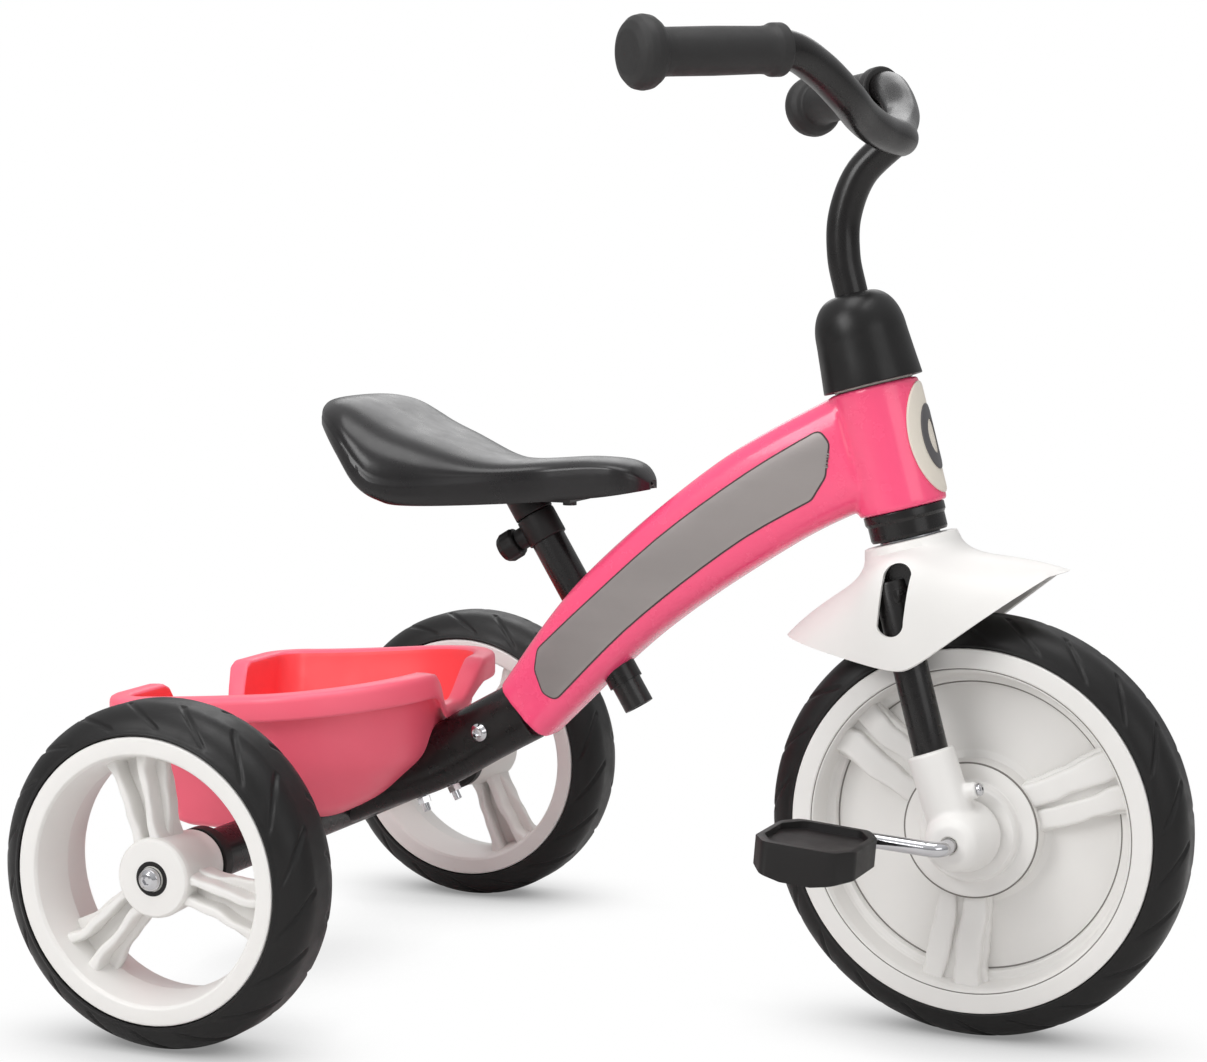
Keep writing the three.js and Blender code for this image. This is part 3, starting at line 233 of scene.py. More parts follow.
def slab(outline, low, high):
    """A closed outline of (x, y) points, carried from z = low to z = high."""
    o = np.asarray(outline, float)
    return grid([np.column_stack([o, np.full(len(o), z)]) for z in (low, high)], caps=True)


def together(*meshes):
    points, faces, count = [], [], 0
    for p, f in meshes:
        points.append(p)
        faces += [tuple(i + count for i in face) for face in f]
        count += len(p)
    return np.vstack(points), faces


def placed(mesh, m):
    return moved(mesh[0], m), mesh[1]


# ---- Blender objects ----
def make(name, mesh, at=None):
    points, faces = mesh
    if at is not None:
        points = moved(points, at)
    data = bpy.data.meshes.new(name)
    data.from_pydata(((points + ORIGIN) * 0.001).tolist(), [], faces)
    data.update()
    obj = bpy.data.objects.new(name, data)
    bpy.context.scene.collection.objects.link(obj)
    outwards(obj)
    return obj


def outwards(obj):
    bm = bmesh.new()
    bm.from_mesh(obj.data)
    bmesh.ops.remove_doubles(bm, verts=bm.verts, dist=1e-6)
    bmesh.ops.recalc_face_normals(bm, faces=bm.faces)
    bm.to_mesh(obj.data)
    bm.free()


def bake(obj):
    """Puts an object's modifiers into its mesh."""
    bpy.context.view_layer.update()
    shaped = obj.evaluated_get(bpy.context.evaluated_depsgraph_get())
    data = bpy.data.meshes.new_from_object(shaped)
    obj.modifiers.clear()
    obj.data = data
    return obj


def carve(obj, tool, how="DIFFERENCE"):
    step = obj.modifiers.new("carve", "BOOLEAN")
    step.operation, step.object, step.solver = how, tool, "EXACT"
    bake(obj)
    bpy.data.objects.remove(tool)
    return obj


def soften(obj, voxel, passes, keep=1.0):
    """Melts joined shapes into one skin, with its corners eased."""
    step = obj.modifiers.new("skin", "REMESH")
    step.mode, step.voxel_size = "VOXEL", voxel * 0.001
    step = obj.modifiers.new("ease", "SMOOTH")
    step.factor, step.iterations = 0.5, passes
    if keep < 1:
        obj.modifiers.new("thin", "DECIMATE").ratio = keep
    return bake(obj)


def ease(obj, width, segments=3, angle=32):
    step = obj.modifiers.new("edge", "BEVEL")
    step.width, step.segments, step.limit_method = width * 0.001, segments, "ANGLE"
    step.angle_limit, step.harden_normals = math.radians(angle), False
    return bake(obj)


def show(obj, materials, body, slot, *nodes, sharp=38):
    """Gives a piece its finish and the body it rides on, and hides the CAD nodes it stands for; its slot is not used.
    """
    for polygon in obj.data.polygons:
        polygon.use_smooth = True
    obj.data.set_sharp_from_angle(angle=math.radians(sharp))
    for material in materials if isinstance(materials, list) else [materials]:
        obj.data.materials.append(material)
    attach(obj, body)
    if nodes:
        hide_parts(*nodes)
    return obj


# ---- Finishes ----
def linear(color):
    return [(c / 12.92 if c <= 0.04045 else ((c + 0.055) / 1.055) ** 2.4) for c in [v / 255 for v in color]]


class Nodes:
    """A short way to write a node tree."""

    def __init__(self, material):
        material.use_nodes = True
        self.tree = material.node_tree
        self.tree.nodes.clear()

    def add(self, kind, inputs=None, **settings):
        node = self.tree.nodes.new("ShaderNode" + kind)
        for key, value in settings.items():
            setattr(node, key, value)
        for key, value in (inputs or {}).items():
            if isinstance(value, bpy.types.NodeSocket):
                self.tree.links.new(value, node.inputs[key])
            else:
                node.inputs[key].default_value = value
        return node


def noise(n, where, size, detail=3.0, roughness=0.5):
    found = n.add("TexNoise", {"Vector": where, "Scale": 1000 / size, "Detail": detail, "Roughness": roughness})
    return found.outputs["Fac"]


COLOR_A, COLOR_B, COLOR_OUT = 6, 7, 2  # a Mix node's colour sockets: their names are used more than once


def finish(
    name, color, rough, metal=0.0, coat=0.0, specular=0.5,
    mottle=0.05, smudge=0.1, grain=0.1, size=0.8, wear=0.15, stretch=None,
):
    """A moulded or plated surface: uneven colour, hazy patches, fine grain, and edges that are rubbed lighter."""
    material = bpy.data.materials.new(name)
    n = Nodes(material)
    where = n.add("TexCoord").outputs["Object"]
    if stretch:
        where = n.add("Mapping", {"Vector": where, "Rotation": stretch[0], "Scale": stretch[1]}).outputs["Vector"]
    patches = noise(n, where, 45, 4)
    haze = noise(n, where, 14, 5, 0.6)
    fine = noise(n, where, size, 4, 0.6)
    base = linear(color)
    dark = [c * (1 - mottle) for c in base] + [1]
    light = [min(1, c * (1 + mottle)) for c in base] + [1]
    rubbed = [min(1, c * 1.5 + 0.04) for c in base] + [1]
    tone = n.add("Mix", {"Factor": patches, COLOR_A: dark, COLOR_B: light}, data_type="RGBA")
    pointed = n.add("NewGeometry").outputs["Pointiness"]
    edge = n.add("MapRange", {"Value": pointed, "From Min": 0.52, "From Max": 0.62, "To Max": wear})
    mix = {"Factor": edge.outputs["Result"], COLOR_A: tone.outputs[COLOR_OUT], COLOR_B: rubbed}
    worn = n.add("Mix", mix, data_type="RGBA")
    low, high = max(0.03, rough - smudge / 2), rough + smudge / 2
    hazy = n.add("MapRange", {"Value": haze, "From Min": 0.3, "From Max": 0.7, "To Min": low, "To Max": high})
    bump = n.add("Bump", {"Height": fine, "Strength": grain, "Distance": 0.0003})
    surface = {
        "Base Color": worn.outputs[COLOR_OUT],
        "Roughness": hazy.outputs["Result"],
        "Metallic": metal,
        "Specular IOR Level": specular,
        "Coat Weight": coat,
        "Coat Roughness": 0.06,
        "Normal": bump.outputs["Normal"],
    }
    n.add("OutputMaterial", {"Surface": n.add("BsdfPrincipled", surface).outputs["BSDF"]})
    return material


PINK = finish("pink_gloss", (252, 84, 128), 0.26, coat=0.35, mottle=0.03, grain=0.03, wear=0.0)
BRUSHED = {"size": 1.6, "stretch": ((0, math.radians(42), 0), (0.06, 1, 1))}  # grain that runs along the panel
SILVER = finish("silver_panel", (158, 152, 150), 0.38, metal=0.75, mottle=0.16, grain=0.12, wear=0.05, **BRUSHED)
SEAM = finish("panel_seam", (70, 48, 52), 0.6, grain=0.1)
CREAM = finish("badge_cream", (226, 218, 205), 0.45, grain=0.05)
BADGE = finish("badge_grey", (92, 90, 92), 0.4, metal=0.2, grain=0.05)
GLOSS = finish("black_gloss", (19, 17, 17), 0.28, coat=0.08, mottle=0.1, grain=0.03, size=1.2, wear=0.08, specular=0.4)
SATIN = finish("black_satin_plastic", (26, 24, 24), 0.46, mottle=0.12, grain=0.22, size=0.5, wear=0.2, specular=0.3)
CAP = finish("cap_plastic", (21, 20, 20), 0.34, mottle=0.1, grain=0.06, size=0.5, wear=0.1, specular=0.36)
SEAT = finish("saddle_plastic", (23, 21, 22), 0.3, mottle=0.1, grain=0.05, size=0.45, wear=0.1)
POST = finish("post_black", (24, 22, 22), 0.3, coat=0.1, mottle=0.12, grain=0.1, size=0.4, wear=0.12)
CORAL = finish("coral_plastic", (255, 105, 128), 0.4, mottle=0.03, grain=0.06, size=0.9, wear=0.12)
# A darker, redder copy of the coral for the basket's inside faces: painted shade inside the tub.
CORAL_PAINTED_SHADE = finish("coral_inside", (255, 75, 82), 0.45, mottle=0.04, grain=0.06, size=0.9, wear=0.1)
WHITE = finish("white_plastic", (231, 229, 226), 0.42, mottle=0.025, grain=0.08, size=0.9, wear=0.0)
# Dark grey for thin rings on the front rim: seams at the rim and the hub, and a painted shadow line under the disc's
# step.
WHITE_SEAM_AND_SHADOW = finish("white_seam", (120, 116, 112), 0.6, grain=0.1)
TYRE = finish("tyre_black", (22, 21, 21), 0.42, mottle=0.16, smudge=0.16, grain=0.3, size=0.7, wear=0.12, specular=0.32)
GRIP = finish("grip_rubber", (34, 33, 33), 0.56, mottle=0.14, grain=0.4, size=0.6, wear=0.2)
CHROME = finish("chrome", (205, 205, 208), 0.1, metal=1.0, mottle=0.05, smudge=0.06, grain=0.03, wear=0.0)
STEEL = finish("zinc_steel", (165, 166, 170), 0.3, metal=1.0, mottle=0.12, grain=0.12, size=1.5, wear=0.1)
NYLON = finish("nylon", (222, 220, 212), 0.5, grain=0.1)

# ---- Main frame: the beam, the head tube, and the inlaid side panels ----
BEAM_STEPS = np.linspace(0, 1, 241)
beam_top = spline([(123.3, 194), (178.3, 264.4), (266.4, 338.3), (345, 383)], 241)
beam_bottom = spline([(153.9, 161), (229.9, 231.9), (314.2, 289.7), (366, 316)], 241)
beam_centre = (beam_top + beam_bottom) / 2
beam_rise = beam_top - beam_bottom
beam_half = np.linalg.norm(beam_rise, axis=1) / 2
beam_up = beam_rise / (2 * beam_half[:, None])
beam_wide = (46 - 4 * (1 - BEAM_STEPS) ** 2) / 2
BEAM_POWER = 3.6


def beam_surface(x, z):
    """How far out the beam's side is at a point of its side view."""
    p = np.column_stack([np.ravel(x), np.ravel(z)])
    off = p[:, None, :] - beam_centre[None]
    across = off[:, :, 0] * beam_up[:, 1] - off[:, :, 1] * beam_up[:, 0]
    near = np.argmin(np.abs(across) + 0.2 * np.linalg.norm(off, axis=2), axis=1)
    rows = np.arange(len(p))
    v = np.abs((off[rows, near] * beam_up[near]).sum(1)) / beam_half[near]
    wide = beam_wide[near] * np.clip(1 - np.clip(v, 0, 1) ** BEAM_POWER, 0, 1) ** (1 / BEAM_POWER)
    return wide.reshape(np.shape(x))


def upright(pair):
    return np.array([pair[0], 0, pair[1]])


rings = [
    oval(upright(beam_centre[i]), upright(beam_up[i]), (0, 1, 0), beam_half[i], beam_wide[i], BEAM_POWER, 96)
    for i in range(0, 241, 4)
]
HEAD_LOW, HEAD_TOP, HEAD_R = 193.9, 269.5, 26.8
head_side = [(0, HEAD_LOW), (HEAD_R, HEAD_LOW), (HEAD_R - 0.2, HEAD_LOW + 30), (HEAD_R, HEAD_TOP), (0, HEAD_TOP)]
head_tube = placed(lathe(fillet(head_side, 1.5), 128), STEER)
main = make("main_frame_skin", together(grid(rings, caps=True), head_tube))
soften(main, 1.15, 14, 0.6)
show(main, PINK, "frame", "pink_gloss", "main_frame", sharp=60)

upper_edge = spline([(153, 219), (187.7, 251), (238.5, 295.5), (293.5, 335), (338, 361.5)], 60)
lower_edge = spline([(333, 320), (284.3, 291.5), (217.2, 239.5), (165, 188)], 60)
front_end, rear_end = [(344, 354), (341.7, 334)], [(157, 192), (151.5, 206)]
panel_corners = np.vstack([evenly(upper_edge, 14), front_end, evenly(lower_edge, 14), rear_end])
panel_line = evenly(fillet(np.vstack([panel_corners, panel_corners[:1]]), 5, 6), 361)[:-1]


def grown(line, by):
    """A closed line moved outwards."""
    ahead = np.roll(line, -3, axis=0) - np.roll(line, 3, axis=0)
    out = np.column_stack([-ahead[:, 1], ahead[:, 0]])
    out /= np.linalg.norm(out, axis=1)[:, None]
    return line + out * by


def inlay(name, by, lift, depth, side, material, slot, *nodes):
    """A plate that lies on the beam's curved side."""
    line = grown(panel_line, by)
    rear = int(np.argmin(np.linalg.norm(line - [153.5, 199], axis=1)))
    front = int(np.argmin(np.linalg.norm(line - [343, 344], axis=1)))
    loop = np.roll(line, -rear, axis=0)
    cut = (front - rear) % len(line)
    one = evenly(loop[3 : cut - 2], 140)
    other = evenly(loop[cut + 3 : -2][::-1], 140)
    w = np.linspace(0, 1, 22)[:, None, None]
    flat = one[None] * (1 - w) + other[None] * w
    y = side * (beam_surface(flat[..., 0], flat[..., 1]) + lift)
    obj = make(name, grid(np.stack([flat[..., 0], y, flat[..., 1]], axis=2), around=False))
    step = obj.modifiers.new("thick", "SOLIDIFY")
    step.thickness, step.offset = depth * 0.001, -1
    bake(obj)
    outwards(obj)
    ease(obj, 0.35, 2, 50)
    return show(obj, material, "frame", slot, *nodes)


for name, side in SIDES:
    inlay("side_panel_plate_" + name, 0.0, 0.45, 1.6, side, SILVER, "silver_panel", "side_panel_" + name)
    inlay("side_panel_seam_" + name, 1.0, 0.15, 1.2, side, SEAM, "black_satin_plastic")

# ---- Head: badge, cup and the ring above the crown ----
BADGE_Z = (HEAD_LOW + HEAD_TOP) / 2 + 0.5


def shield(name, half_y, half_z, radius, depth, material, slot, node, hole=None):
    """An oval plate wrapped round the front of the head tube, or a ring where hole is given."""
    a = np.linspace(0, 2 * math.pi, 120, endpoint=False)
    rows = []
    steps = [(1.0, 0.0), (1.0, depth * 0.7), (0.985, depth * 0.95), (0.96, depth)]
    inner = [(hole or 0.02, depth), (hole or 0.02, 0.0)]
    body = [(0.96 + (inner[0][0] - 0.96) * k / 10, depth) for k in range(1, 10)]
    for scale, lift in steps + body + inner:
        y = half_y * scale * np.cos(a)
        z = half_z * scale * np.sin(a)
        angle, out = y / radius, radius + lift
        rows.append(np.column_stack([out * np.cos(angle), out * np.sin(angle), BADGE_Z + z]))
    obj = make(name, grid(rows, endless=True), STEER)
    return show(obj, material, "frame", slot, node)


shield("badge_plate", 21, 34, HEAD_R + 0.1, 1.3, CREAM, "badge_cream", "head_badge")
shield("badge_ring", 12, 20, HEAD_R + 1.3, 0.9, BADGE, "badge_grey", "badge_emblem", 0.54)


def turned(name, profile, material, body, slot, *nodes, at=None, round_by=0.5, segments=96, sharp=50):
    """A whole turned piece, from its profile to its finish."""
    obj = make(name, lathe(fillet(profile, round_by), segments), at)
    return show(obj, material, body, slot, *nodes, sharp=sharp)


turned(
    "lower_cup",
    [(14, 177.3), (22.6, 177.3), (23.4, 179), (23.4, 187), (24.6, 189), (24.6, 193.7), (14, 193.7), (14, 177.3)],
    GLOSS,
    "frame",
    "black_satin_plastic",
    "lower_head_cup",
    at=STEER,
    round_by=0.7,
)
turned("crown_washer", ring_section(13, 18.4, 175.4, 177), STEEL, "steering", "zinc_steel", at=STEER)

# ---- Rear spine, axle tube and what holds them ----
SPINE = [(-18, 102), (31, 123.9), (71, 140), (110, 162), (137.5, 177)]
spine_line = spline(SPINE, 121)
spine_dir = np.gradient(spine_line, axis=0)
spine_dir /= np.linalg.norm(spine_dir, axis=1)[:, None]
spine_up = np.column_stack([-spine_dir[:, 1], spine_dir[:, 0]])
rings = []
for i in range(0, 121, 3):
    rise = 1 - 0.12 * max(0, 1 - i / 6)
    rings.append(oval(upright(spine_line[i]), upright(spine_up[i]), (0, 1, 0), 20 * rise, 16 * rise, 2.8, 64))
show(ease(make("rear_spine_bar", grid(rings, caps=True)), 1.5, 3, 50), GLOSS, "frame", "black_gloss", "rear_spine")


def key_hole(radius, low, high, at):
    """A tool for the hexagonal hole in a bolt's head."""
    hexagon = [(radius * math.cos(k * math.pi / 3), radius * math.sin(k * math.pi / 3)) for k in range(6)]
    return make("key", slab(hexagon, low, high), at)


AXLE = shift(0, 0, REAR_R) @ TO_Y
turned("axle_tube", ring_section(13.4, 15, -176, 176), GLOSS, "frame", "black_gloss", "rear_axle_tube", at=AXLE)
HUB_IN, HUB_OUT = WHEEL_Y - 33, WHEEL_Y + 17.5
for name, side in SIDES:
    flip = AXLE @ flipped(side)
    end = HUB_IN - 0.6
    collar = [(15.2, 168), (18, 168), (20, 171), (20, end), (5.4, end), (5.4, 176.4), (15.2, 176.4), (15.2, 168)]
    obj = make("axle_collar_ring_" + name, lathe(fillet(collar, 0.9)), flip)
    show(obj, SATIN, "frame", "black_satin_plastic", "axle_collar_" + name, sharp=50)
    face = HUB_OUT + 0.5
    dome = [(0, face), (7.2, face), (7.2, face + 1.6), (6.2, face + 3.6), (3.9, face + 5.3), (0, face + 6)]
    nut = make("axle_cap_" + name, lathe(fillet(dome, 1.2), 64), flip)
    carve(nut, key_hole(2.7, face + 4.3, face + 12, flip))
    show(nut, CHROME, "frame", "chrome", "axle_cap_nut_" + name)


def screw(name, foot, axis, profile, body, slot, node, key=None):
    """A small dome-headed bolt, with a key hole where key gives its radius, its bottom and its top."""
    obj = make(name, lathe(fillet(profile, 0.7), 40), onto(foot, axis))
    if key:
        carve(obj, key_hole(*key, onto(foot, axis)))
    return show(obj, CHROME, body, slot, node)


screw(
    "spine_bolt_dome",
    (110, 0, 162.5),
    (0, -1, 0),
    [(0, -22), (3, -22), (3, 15.8), (5.8, 15.8), (5.8, 17.6), (3.6, 19.8), (0, 20)],
    "frame",
    "chrome",
    "spine_bolt",
    (1.9, 18, 24),
)
for name, x in (("front", 74), ("rear", 55)):
    i = int(round((x + 4) / 150 * 120))
    screw(
        "basket_bolt_dome_" + name,
        upright(spine_line[i]),
        upright(spine_up[i]),
        [(0, -30), (2.5, -30), (2.5, 25.0), (5, 25.0), (5, 27), (3.4, 28.6), (0, 28.7)],
        "frame",
        "chrome",
        "basket_bolt_" + name,
        (1.6, 27.4, 31),
    )

# ---- Wheels ----
def tread(outer, around, arc, count):
    """How deep the curved slots go at a place on the tyre: around is along the tread, arc is out from its middle."""
    pitch = 2 * math.pi * outer / count
    start, end, sweep, deep = 8, 33, 34, 1.15
    depth = 0
    for side in (-1, 1):
        a = side * arc
        s = np.clip((a - start) / (end - start), 0, 1)
        middle = sweep * s**1.4 + (0.5 * pitch if side > 0 else 0)
        gap = (around - middle + pitch / 2) % pitch - pitch / 2
        lean = math.cos(math.atan2(sweep * 1.15, end - start))
        beyond = np.maximum(0, np.maximum(start - a, a - end))
        reach = np.hypot(gap * lean, beyond)
        width = 0.7 + 0.55 * np.sin(math.pi * (0.1 + 0.85 * s))
        depth = np.maximum(depth, deep * (1 - smooth_step(width - 0.6, width + 0.6, reach)))
    return depth


def tyre(name, inner, outer, half, shoulder, centre, body, node, cuts):
    """A tyre whose slots sink along its own surface, between its beads on the rim."""
    bend = np.linspace(0, math.pi / 2, 30)
    turn_out = np.column_stack([outer - shoulder + shoulder * np.cos(bend), half - shoulder + shoulder * np.sin(bend)])
    crown = np.column_stack([np.full(7, outer), np.linspace(0, half - shoulder, 7, endpoint=False)])
    side = [(inner + 2.2, half + 0.05), (inner + 1.6, half + 0.5), (inner + 0.6, half + 0.4), (inner, half - 0.8)]
    keep = turn_out[turn_out[:, 0] > inner + 3]
    one = np.vstack([crown, keep, side])
    arc = np.concatenate([[0], np.cumsum(np.linalg.norm(np.diff(one, axis=0), axis=1))])
    line = np.vstack([one[::-1] * [1, 1], one[1:] * [1, -1]])
    arc = np.concatenate([arc[::-1], -arc[1:]])
    segments = 660 if outer < 110 else 780
    angle = np.linspace(0, 2 * math.pi, segments, endpoint=False)
    facing = np.gradient(line, axis=0)
    facing = np.column_stack([-facing[:, 1], facing[:, 0]])
    facing /= np.linalg.norm(facing, axis=1)[:, None]
    if facing[len(one)][0] < 0:
        facing = -facing
    limit = inner + 4
    rings = []
    for (r, h), a, f in zip(line, arc, facing):
        sunk = tread(outer, angle * outer, a, cuts) * smooth_step(limit, limit + 3, r)
        seam = 0.5 * np.exp(-(((abs(a) - 37.0) / 0.55) ** 2))
        sunk = sunk + seam
        rr, hh = r - f[0] * sunk, h - f[1] * sunk
        rings.append(np.column_stack([rr * np.cos(angle), rr * np.sin(angle), np.broadcast_to(hh, angle.shape)]))
    for r, h in ((inner, 6 - half), (inner, half - 6)):
        rings.append(np.column_stack([r * np.cos(angle), r * np.sin(angle), np.full(segments, h)]))
    obj = make(name, grid(rings, endless=True), shift(*centre) @ TO_Y)
    return show(obj, TYRE, body, "tyre_black", node, sharp=70)


def rib(reach, across, half, low, high, power=5, count=28):
    """A rib along +X whose middle, half-width and height may change as it goes out."""
    rings = []
    for x, t, w, top in zip(reach, across, half, high):
        rings.append(oval((x, t, (low + top) / 2), (0, 1, 0), (0, 0, 1), w, (top - low) / 2, power, count))
    return grid(rings, caps=True)


def rear_spoke(seed):
    """Two narrow ribs on each face of a web, spread where they meet the rim."""
    x = np.linspace(19, 75, 60)
    out = (x - 19) / 56
    flare = smooth_step(0.78, 1.0, out)
    parts = []
    for side in (-1, 1):
        middle = side * (5.4 + 3.8 * out + 0.9 * wave(x, seed + side)) + side * 2.6 * flare
        half = 2.9 + 0.5 * wave(x, seed + 4 + side) + 2.0 * flare + 1.2 * (1 - smooth_step(0, 0.14, out))
        for face in (1, -1):
            top = 14.2 + 1.6 * out + 0.5 * wave(x, seed + 9)
            parts.append(placed(rib(x, middle, half, 0, top, 4), flipped(face)))
    wide = 10.5 + 10.5 * out**1.4 + 1.2 * wave(x, seed + 2)
    parts.append(rib(x, 0.4 * wave(x, seed + 7), wide, -3.5, np.full(60, 3.5), 6))
    return together(*parts)


def rear_rim(side, phase):
    """A barrel, a hub that faces its side, and three spokes."""
    face = 27.3
    well = [(75.2, face), (73.8, face - 2.2), (69.5, 0), (73.8, 2.2 - face), (75.2, -face)]
    barrel = [(85.4, -face), (85.4, face), *well, (85.4, -face)]
    parts = [lathe(fillet(barrel, 1.6, 5), 160)]
    hub = [(0, -32.6), (18.5, -32.6), (20, -30), (22.5, -12), (24, 13), (23.6, 15.6), (22.2, 17.2)]
    hub += [(10, 17.5), (8.6, 17), (8.2, 15.2), (0, 15.2)]
    parts.append(placed(lathe(fillet(hub, 1.4, 5), 96), flipped(side)))
    for k in range(3):
        parts.append(placed(rear_spoke(1.3 + 2.1 * k + side), turn("Z", -(phase + math.radians(120 * k)))))
    return together(*parts)


for name, side in SIDES:
    body = "rear_wheel_" + name
    centre = (0, side * WHEEL_Y, REAR_R)
    tyre("rear_tyre_tread_" + name, 85.6, REAR_R, 26.9, 20, centre, body, "rear_tyre_" + name, 18)
    phase = math.radians(104.5 if side < 0 else 55)
    place = shift(*centre) @ TO_Y
    obj = make("rear_rim_moulding_" + name, rear_rim(side, phase), place)
    show(obj, WHITE, body, "white_plastic", "rear_rim_" + name, sharp=40)
    ring, at = ring_section(7.6, 10.4, 14.6, 17.8), place @ flipped(side)
    turned("hub_ring_" + name, ring, SATIN, body, "black_satin_plastic", at=at, round_by=0.4)

FRONT = shift(FRONT_X, 0, FRONT_R)
tyre("front_tyre_tread", 109.4, FRONT_R, 25, 19, (FRONT_X, 0, FRONT_R), "front_wheel", "front_tyre", 22)


def front_spoke(seed):
    """Two broad flat ribs side by side, one a little higher, with a narrow groove between them."""
    x = np.linspace(36, 97, 64)
    out = (x - 36) / 61
    flare = smooth_step(0.8, 1, out)
    parts = []
    for middle, half, top, own in ((-8.2, 8.4, 17.8, 0), (10.6, 7.2, 15.2, 5)):
        side = math.copysign(1, middle)
        middle = middle * (0.86 + 0.2 * out) + 0.9 * wave(x, seed + own) + side * 1.2 * flare
        half = half * (0.82 + 0.22 * out) + 0.7 * wave(x, seed + own + 2)
        parts.append(rib(x, middle, half, 3, top + 2 * out + 0.4 * wave(x, seed + 9), 6))
    wide = 15 + 5.5 * out + 0.9 * wave(x, seed + 2) + 2 * flare
    parts.append(rib(x, 0.5 * wave(x, seed + 7), wide, 3, 12 + 1.5 * out, 6))
    return together(*parts)


half = 27.0
rim_face = [(109.2, half), (98.4, half), (97.6, half - 0.4), (97.3, half - 1.6), (96.9, half - 0.4), (96.2, half - 0.6)]
disc = [(94.8, 23), (93, 9.5), (91.5, 8.3), (88, 8), (87.2, 3.8), (85, 3.2), (58, 5), (46, 5)]
hub_face = [(41.5, 7), (40.6, 19.4), (39.8, 21), (36.5, 21.4), (31, 21.6), (30.3, 22.2)]
hub_face += [(29.6, 26.5), (28, 29), (22, 29.5)]
section = rim_face + disc + hub_face
whole = [(0, 29.5)] + section[::-1] + [(r, -h) for r, h in section] + [(0, -29.5)]
parts = [lathe(fillet(whole, 1.1, 4), 180)]
for k in range(3):
    arm = placed(front_spoke(0.7 + 1.9 * k), turn("Z", -math.radians(23 + 120 * k)))
    parts.append(arm)
    parts.append(placed(arm, flipped(-1)))
rim = make("front_rim_moulding", together(*parts), FRONT @ TO_Y)
show(rim, WHITE, "front_wheel", "white_plastic", "front_rim", sharp=40)
# Rings for the seams at the rim and the hub, and a painted shadow line under the disc's ledge at the step.
SEAM_AND_SHADOW_LINES = (("rim", 96.9, 97.7, 26.3), ("step", 86.3, 87.5, 3.9), ("hub", 40.0, 40.9, 20.6))
for name, side in SIDES:
    for label, near, far, height in SEAM_AND_SHADOW_LINES:
        seam = lathe(fillet(ring_section(near, far, height - 1, height + 0.15), 0.1), 160)
        line = make("%s_line_%s" % (label, name), seam, FRONT @ TO_Y @ flipped(side))
        show(line, WHITE_SEAM_AND_SHADOW, "front_wheel", "white_plastic", sharp=50)

# ---- Crank and pedals ----
arm = (PEDAL["right"] - [FRONT_X, PEDAL["right"][1], FRONT_R]) * [1, 0, 1]
corners = [arm + [0, -154, 0], arm + [0, -82, 0], (0, -82, 0), (0, 82, 0), -arm + [0, 82, 0], -arm + [0, 154, 0]]
crank = fillet(corners, 10, 12)
show(make("crank_bar", tube(crank, 4.5, 32, 0.8), FRONT), CHROME, "front_wheel", "chrome", "crank_axle", sharp=50)


def pedal(name, side):
    """A hollow tray with chamfered corners, a lip round its top and a deeper middle."""
    place = shift(*PEDAL[name]) @ turn("Y", math.radians(5)) @ turn("Z", 0 if side > 0 else math.pi)

    def plan(inset):
        x, y = 30 - inset, 33 - inset
        points = [(x - 9, -y), (x, 14 - y), (x, y - 14), (x - 9, y)]
        points += [(9 - x, y), (-x, y - 14), (-x, 14 - y), (9 - x, -y)]
        return fillet(points + points[:1], 7, 5)[:-1]

    side_view = [(-32, 9.5), (32, 9.5), (32, -7), (9, -12), (-9, -12), (-32, -7)]
    tray = make("pedal_tray_" + name, slab(plan(0), -16, 9.5), place)
    carve(tray, make("tool", slab(fillet(side_view + side_view[:1], 5, 5)[:-1], -40, 40), place @ LIE), "INTERSECT")
    inside = [(-28, 30), (28, 30), (28, 6), (14, 5.3), (0, 5.1), (-14, 5.3), (-28, 6)]
    pocket = make("pocket", slab(plan(4), 0, 30), place)
    carve(pocket, make("tool", slab(fillet(inside + inside[:1], 2, 3)[:-1], -40, 40), place @ LIE), "INTERSECT")
    carve(tray, pocket)
    ease(tray, 1.2, 3, 40)
    return show(tray, SATIN, "pedal_" + name, "black_satin_plastic", "pedal_" + name, sharp=45)


for name, side in SIDES:
    pedal(name, side)

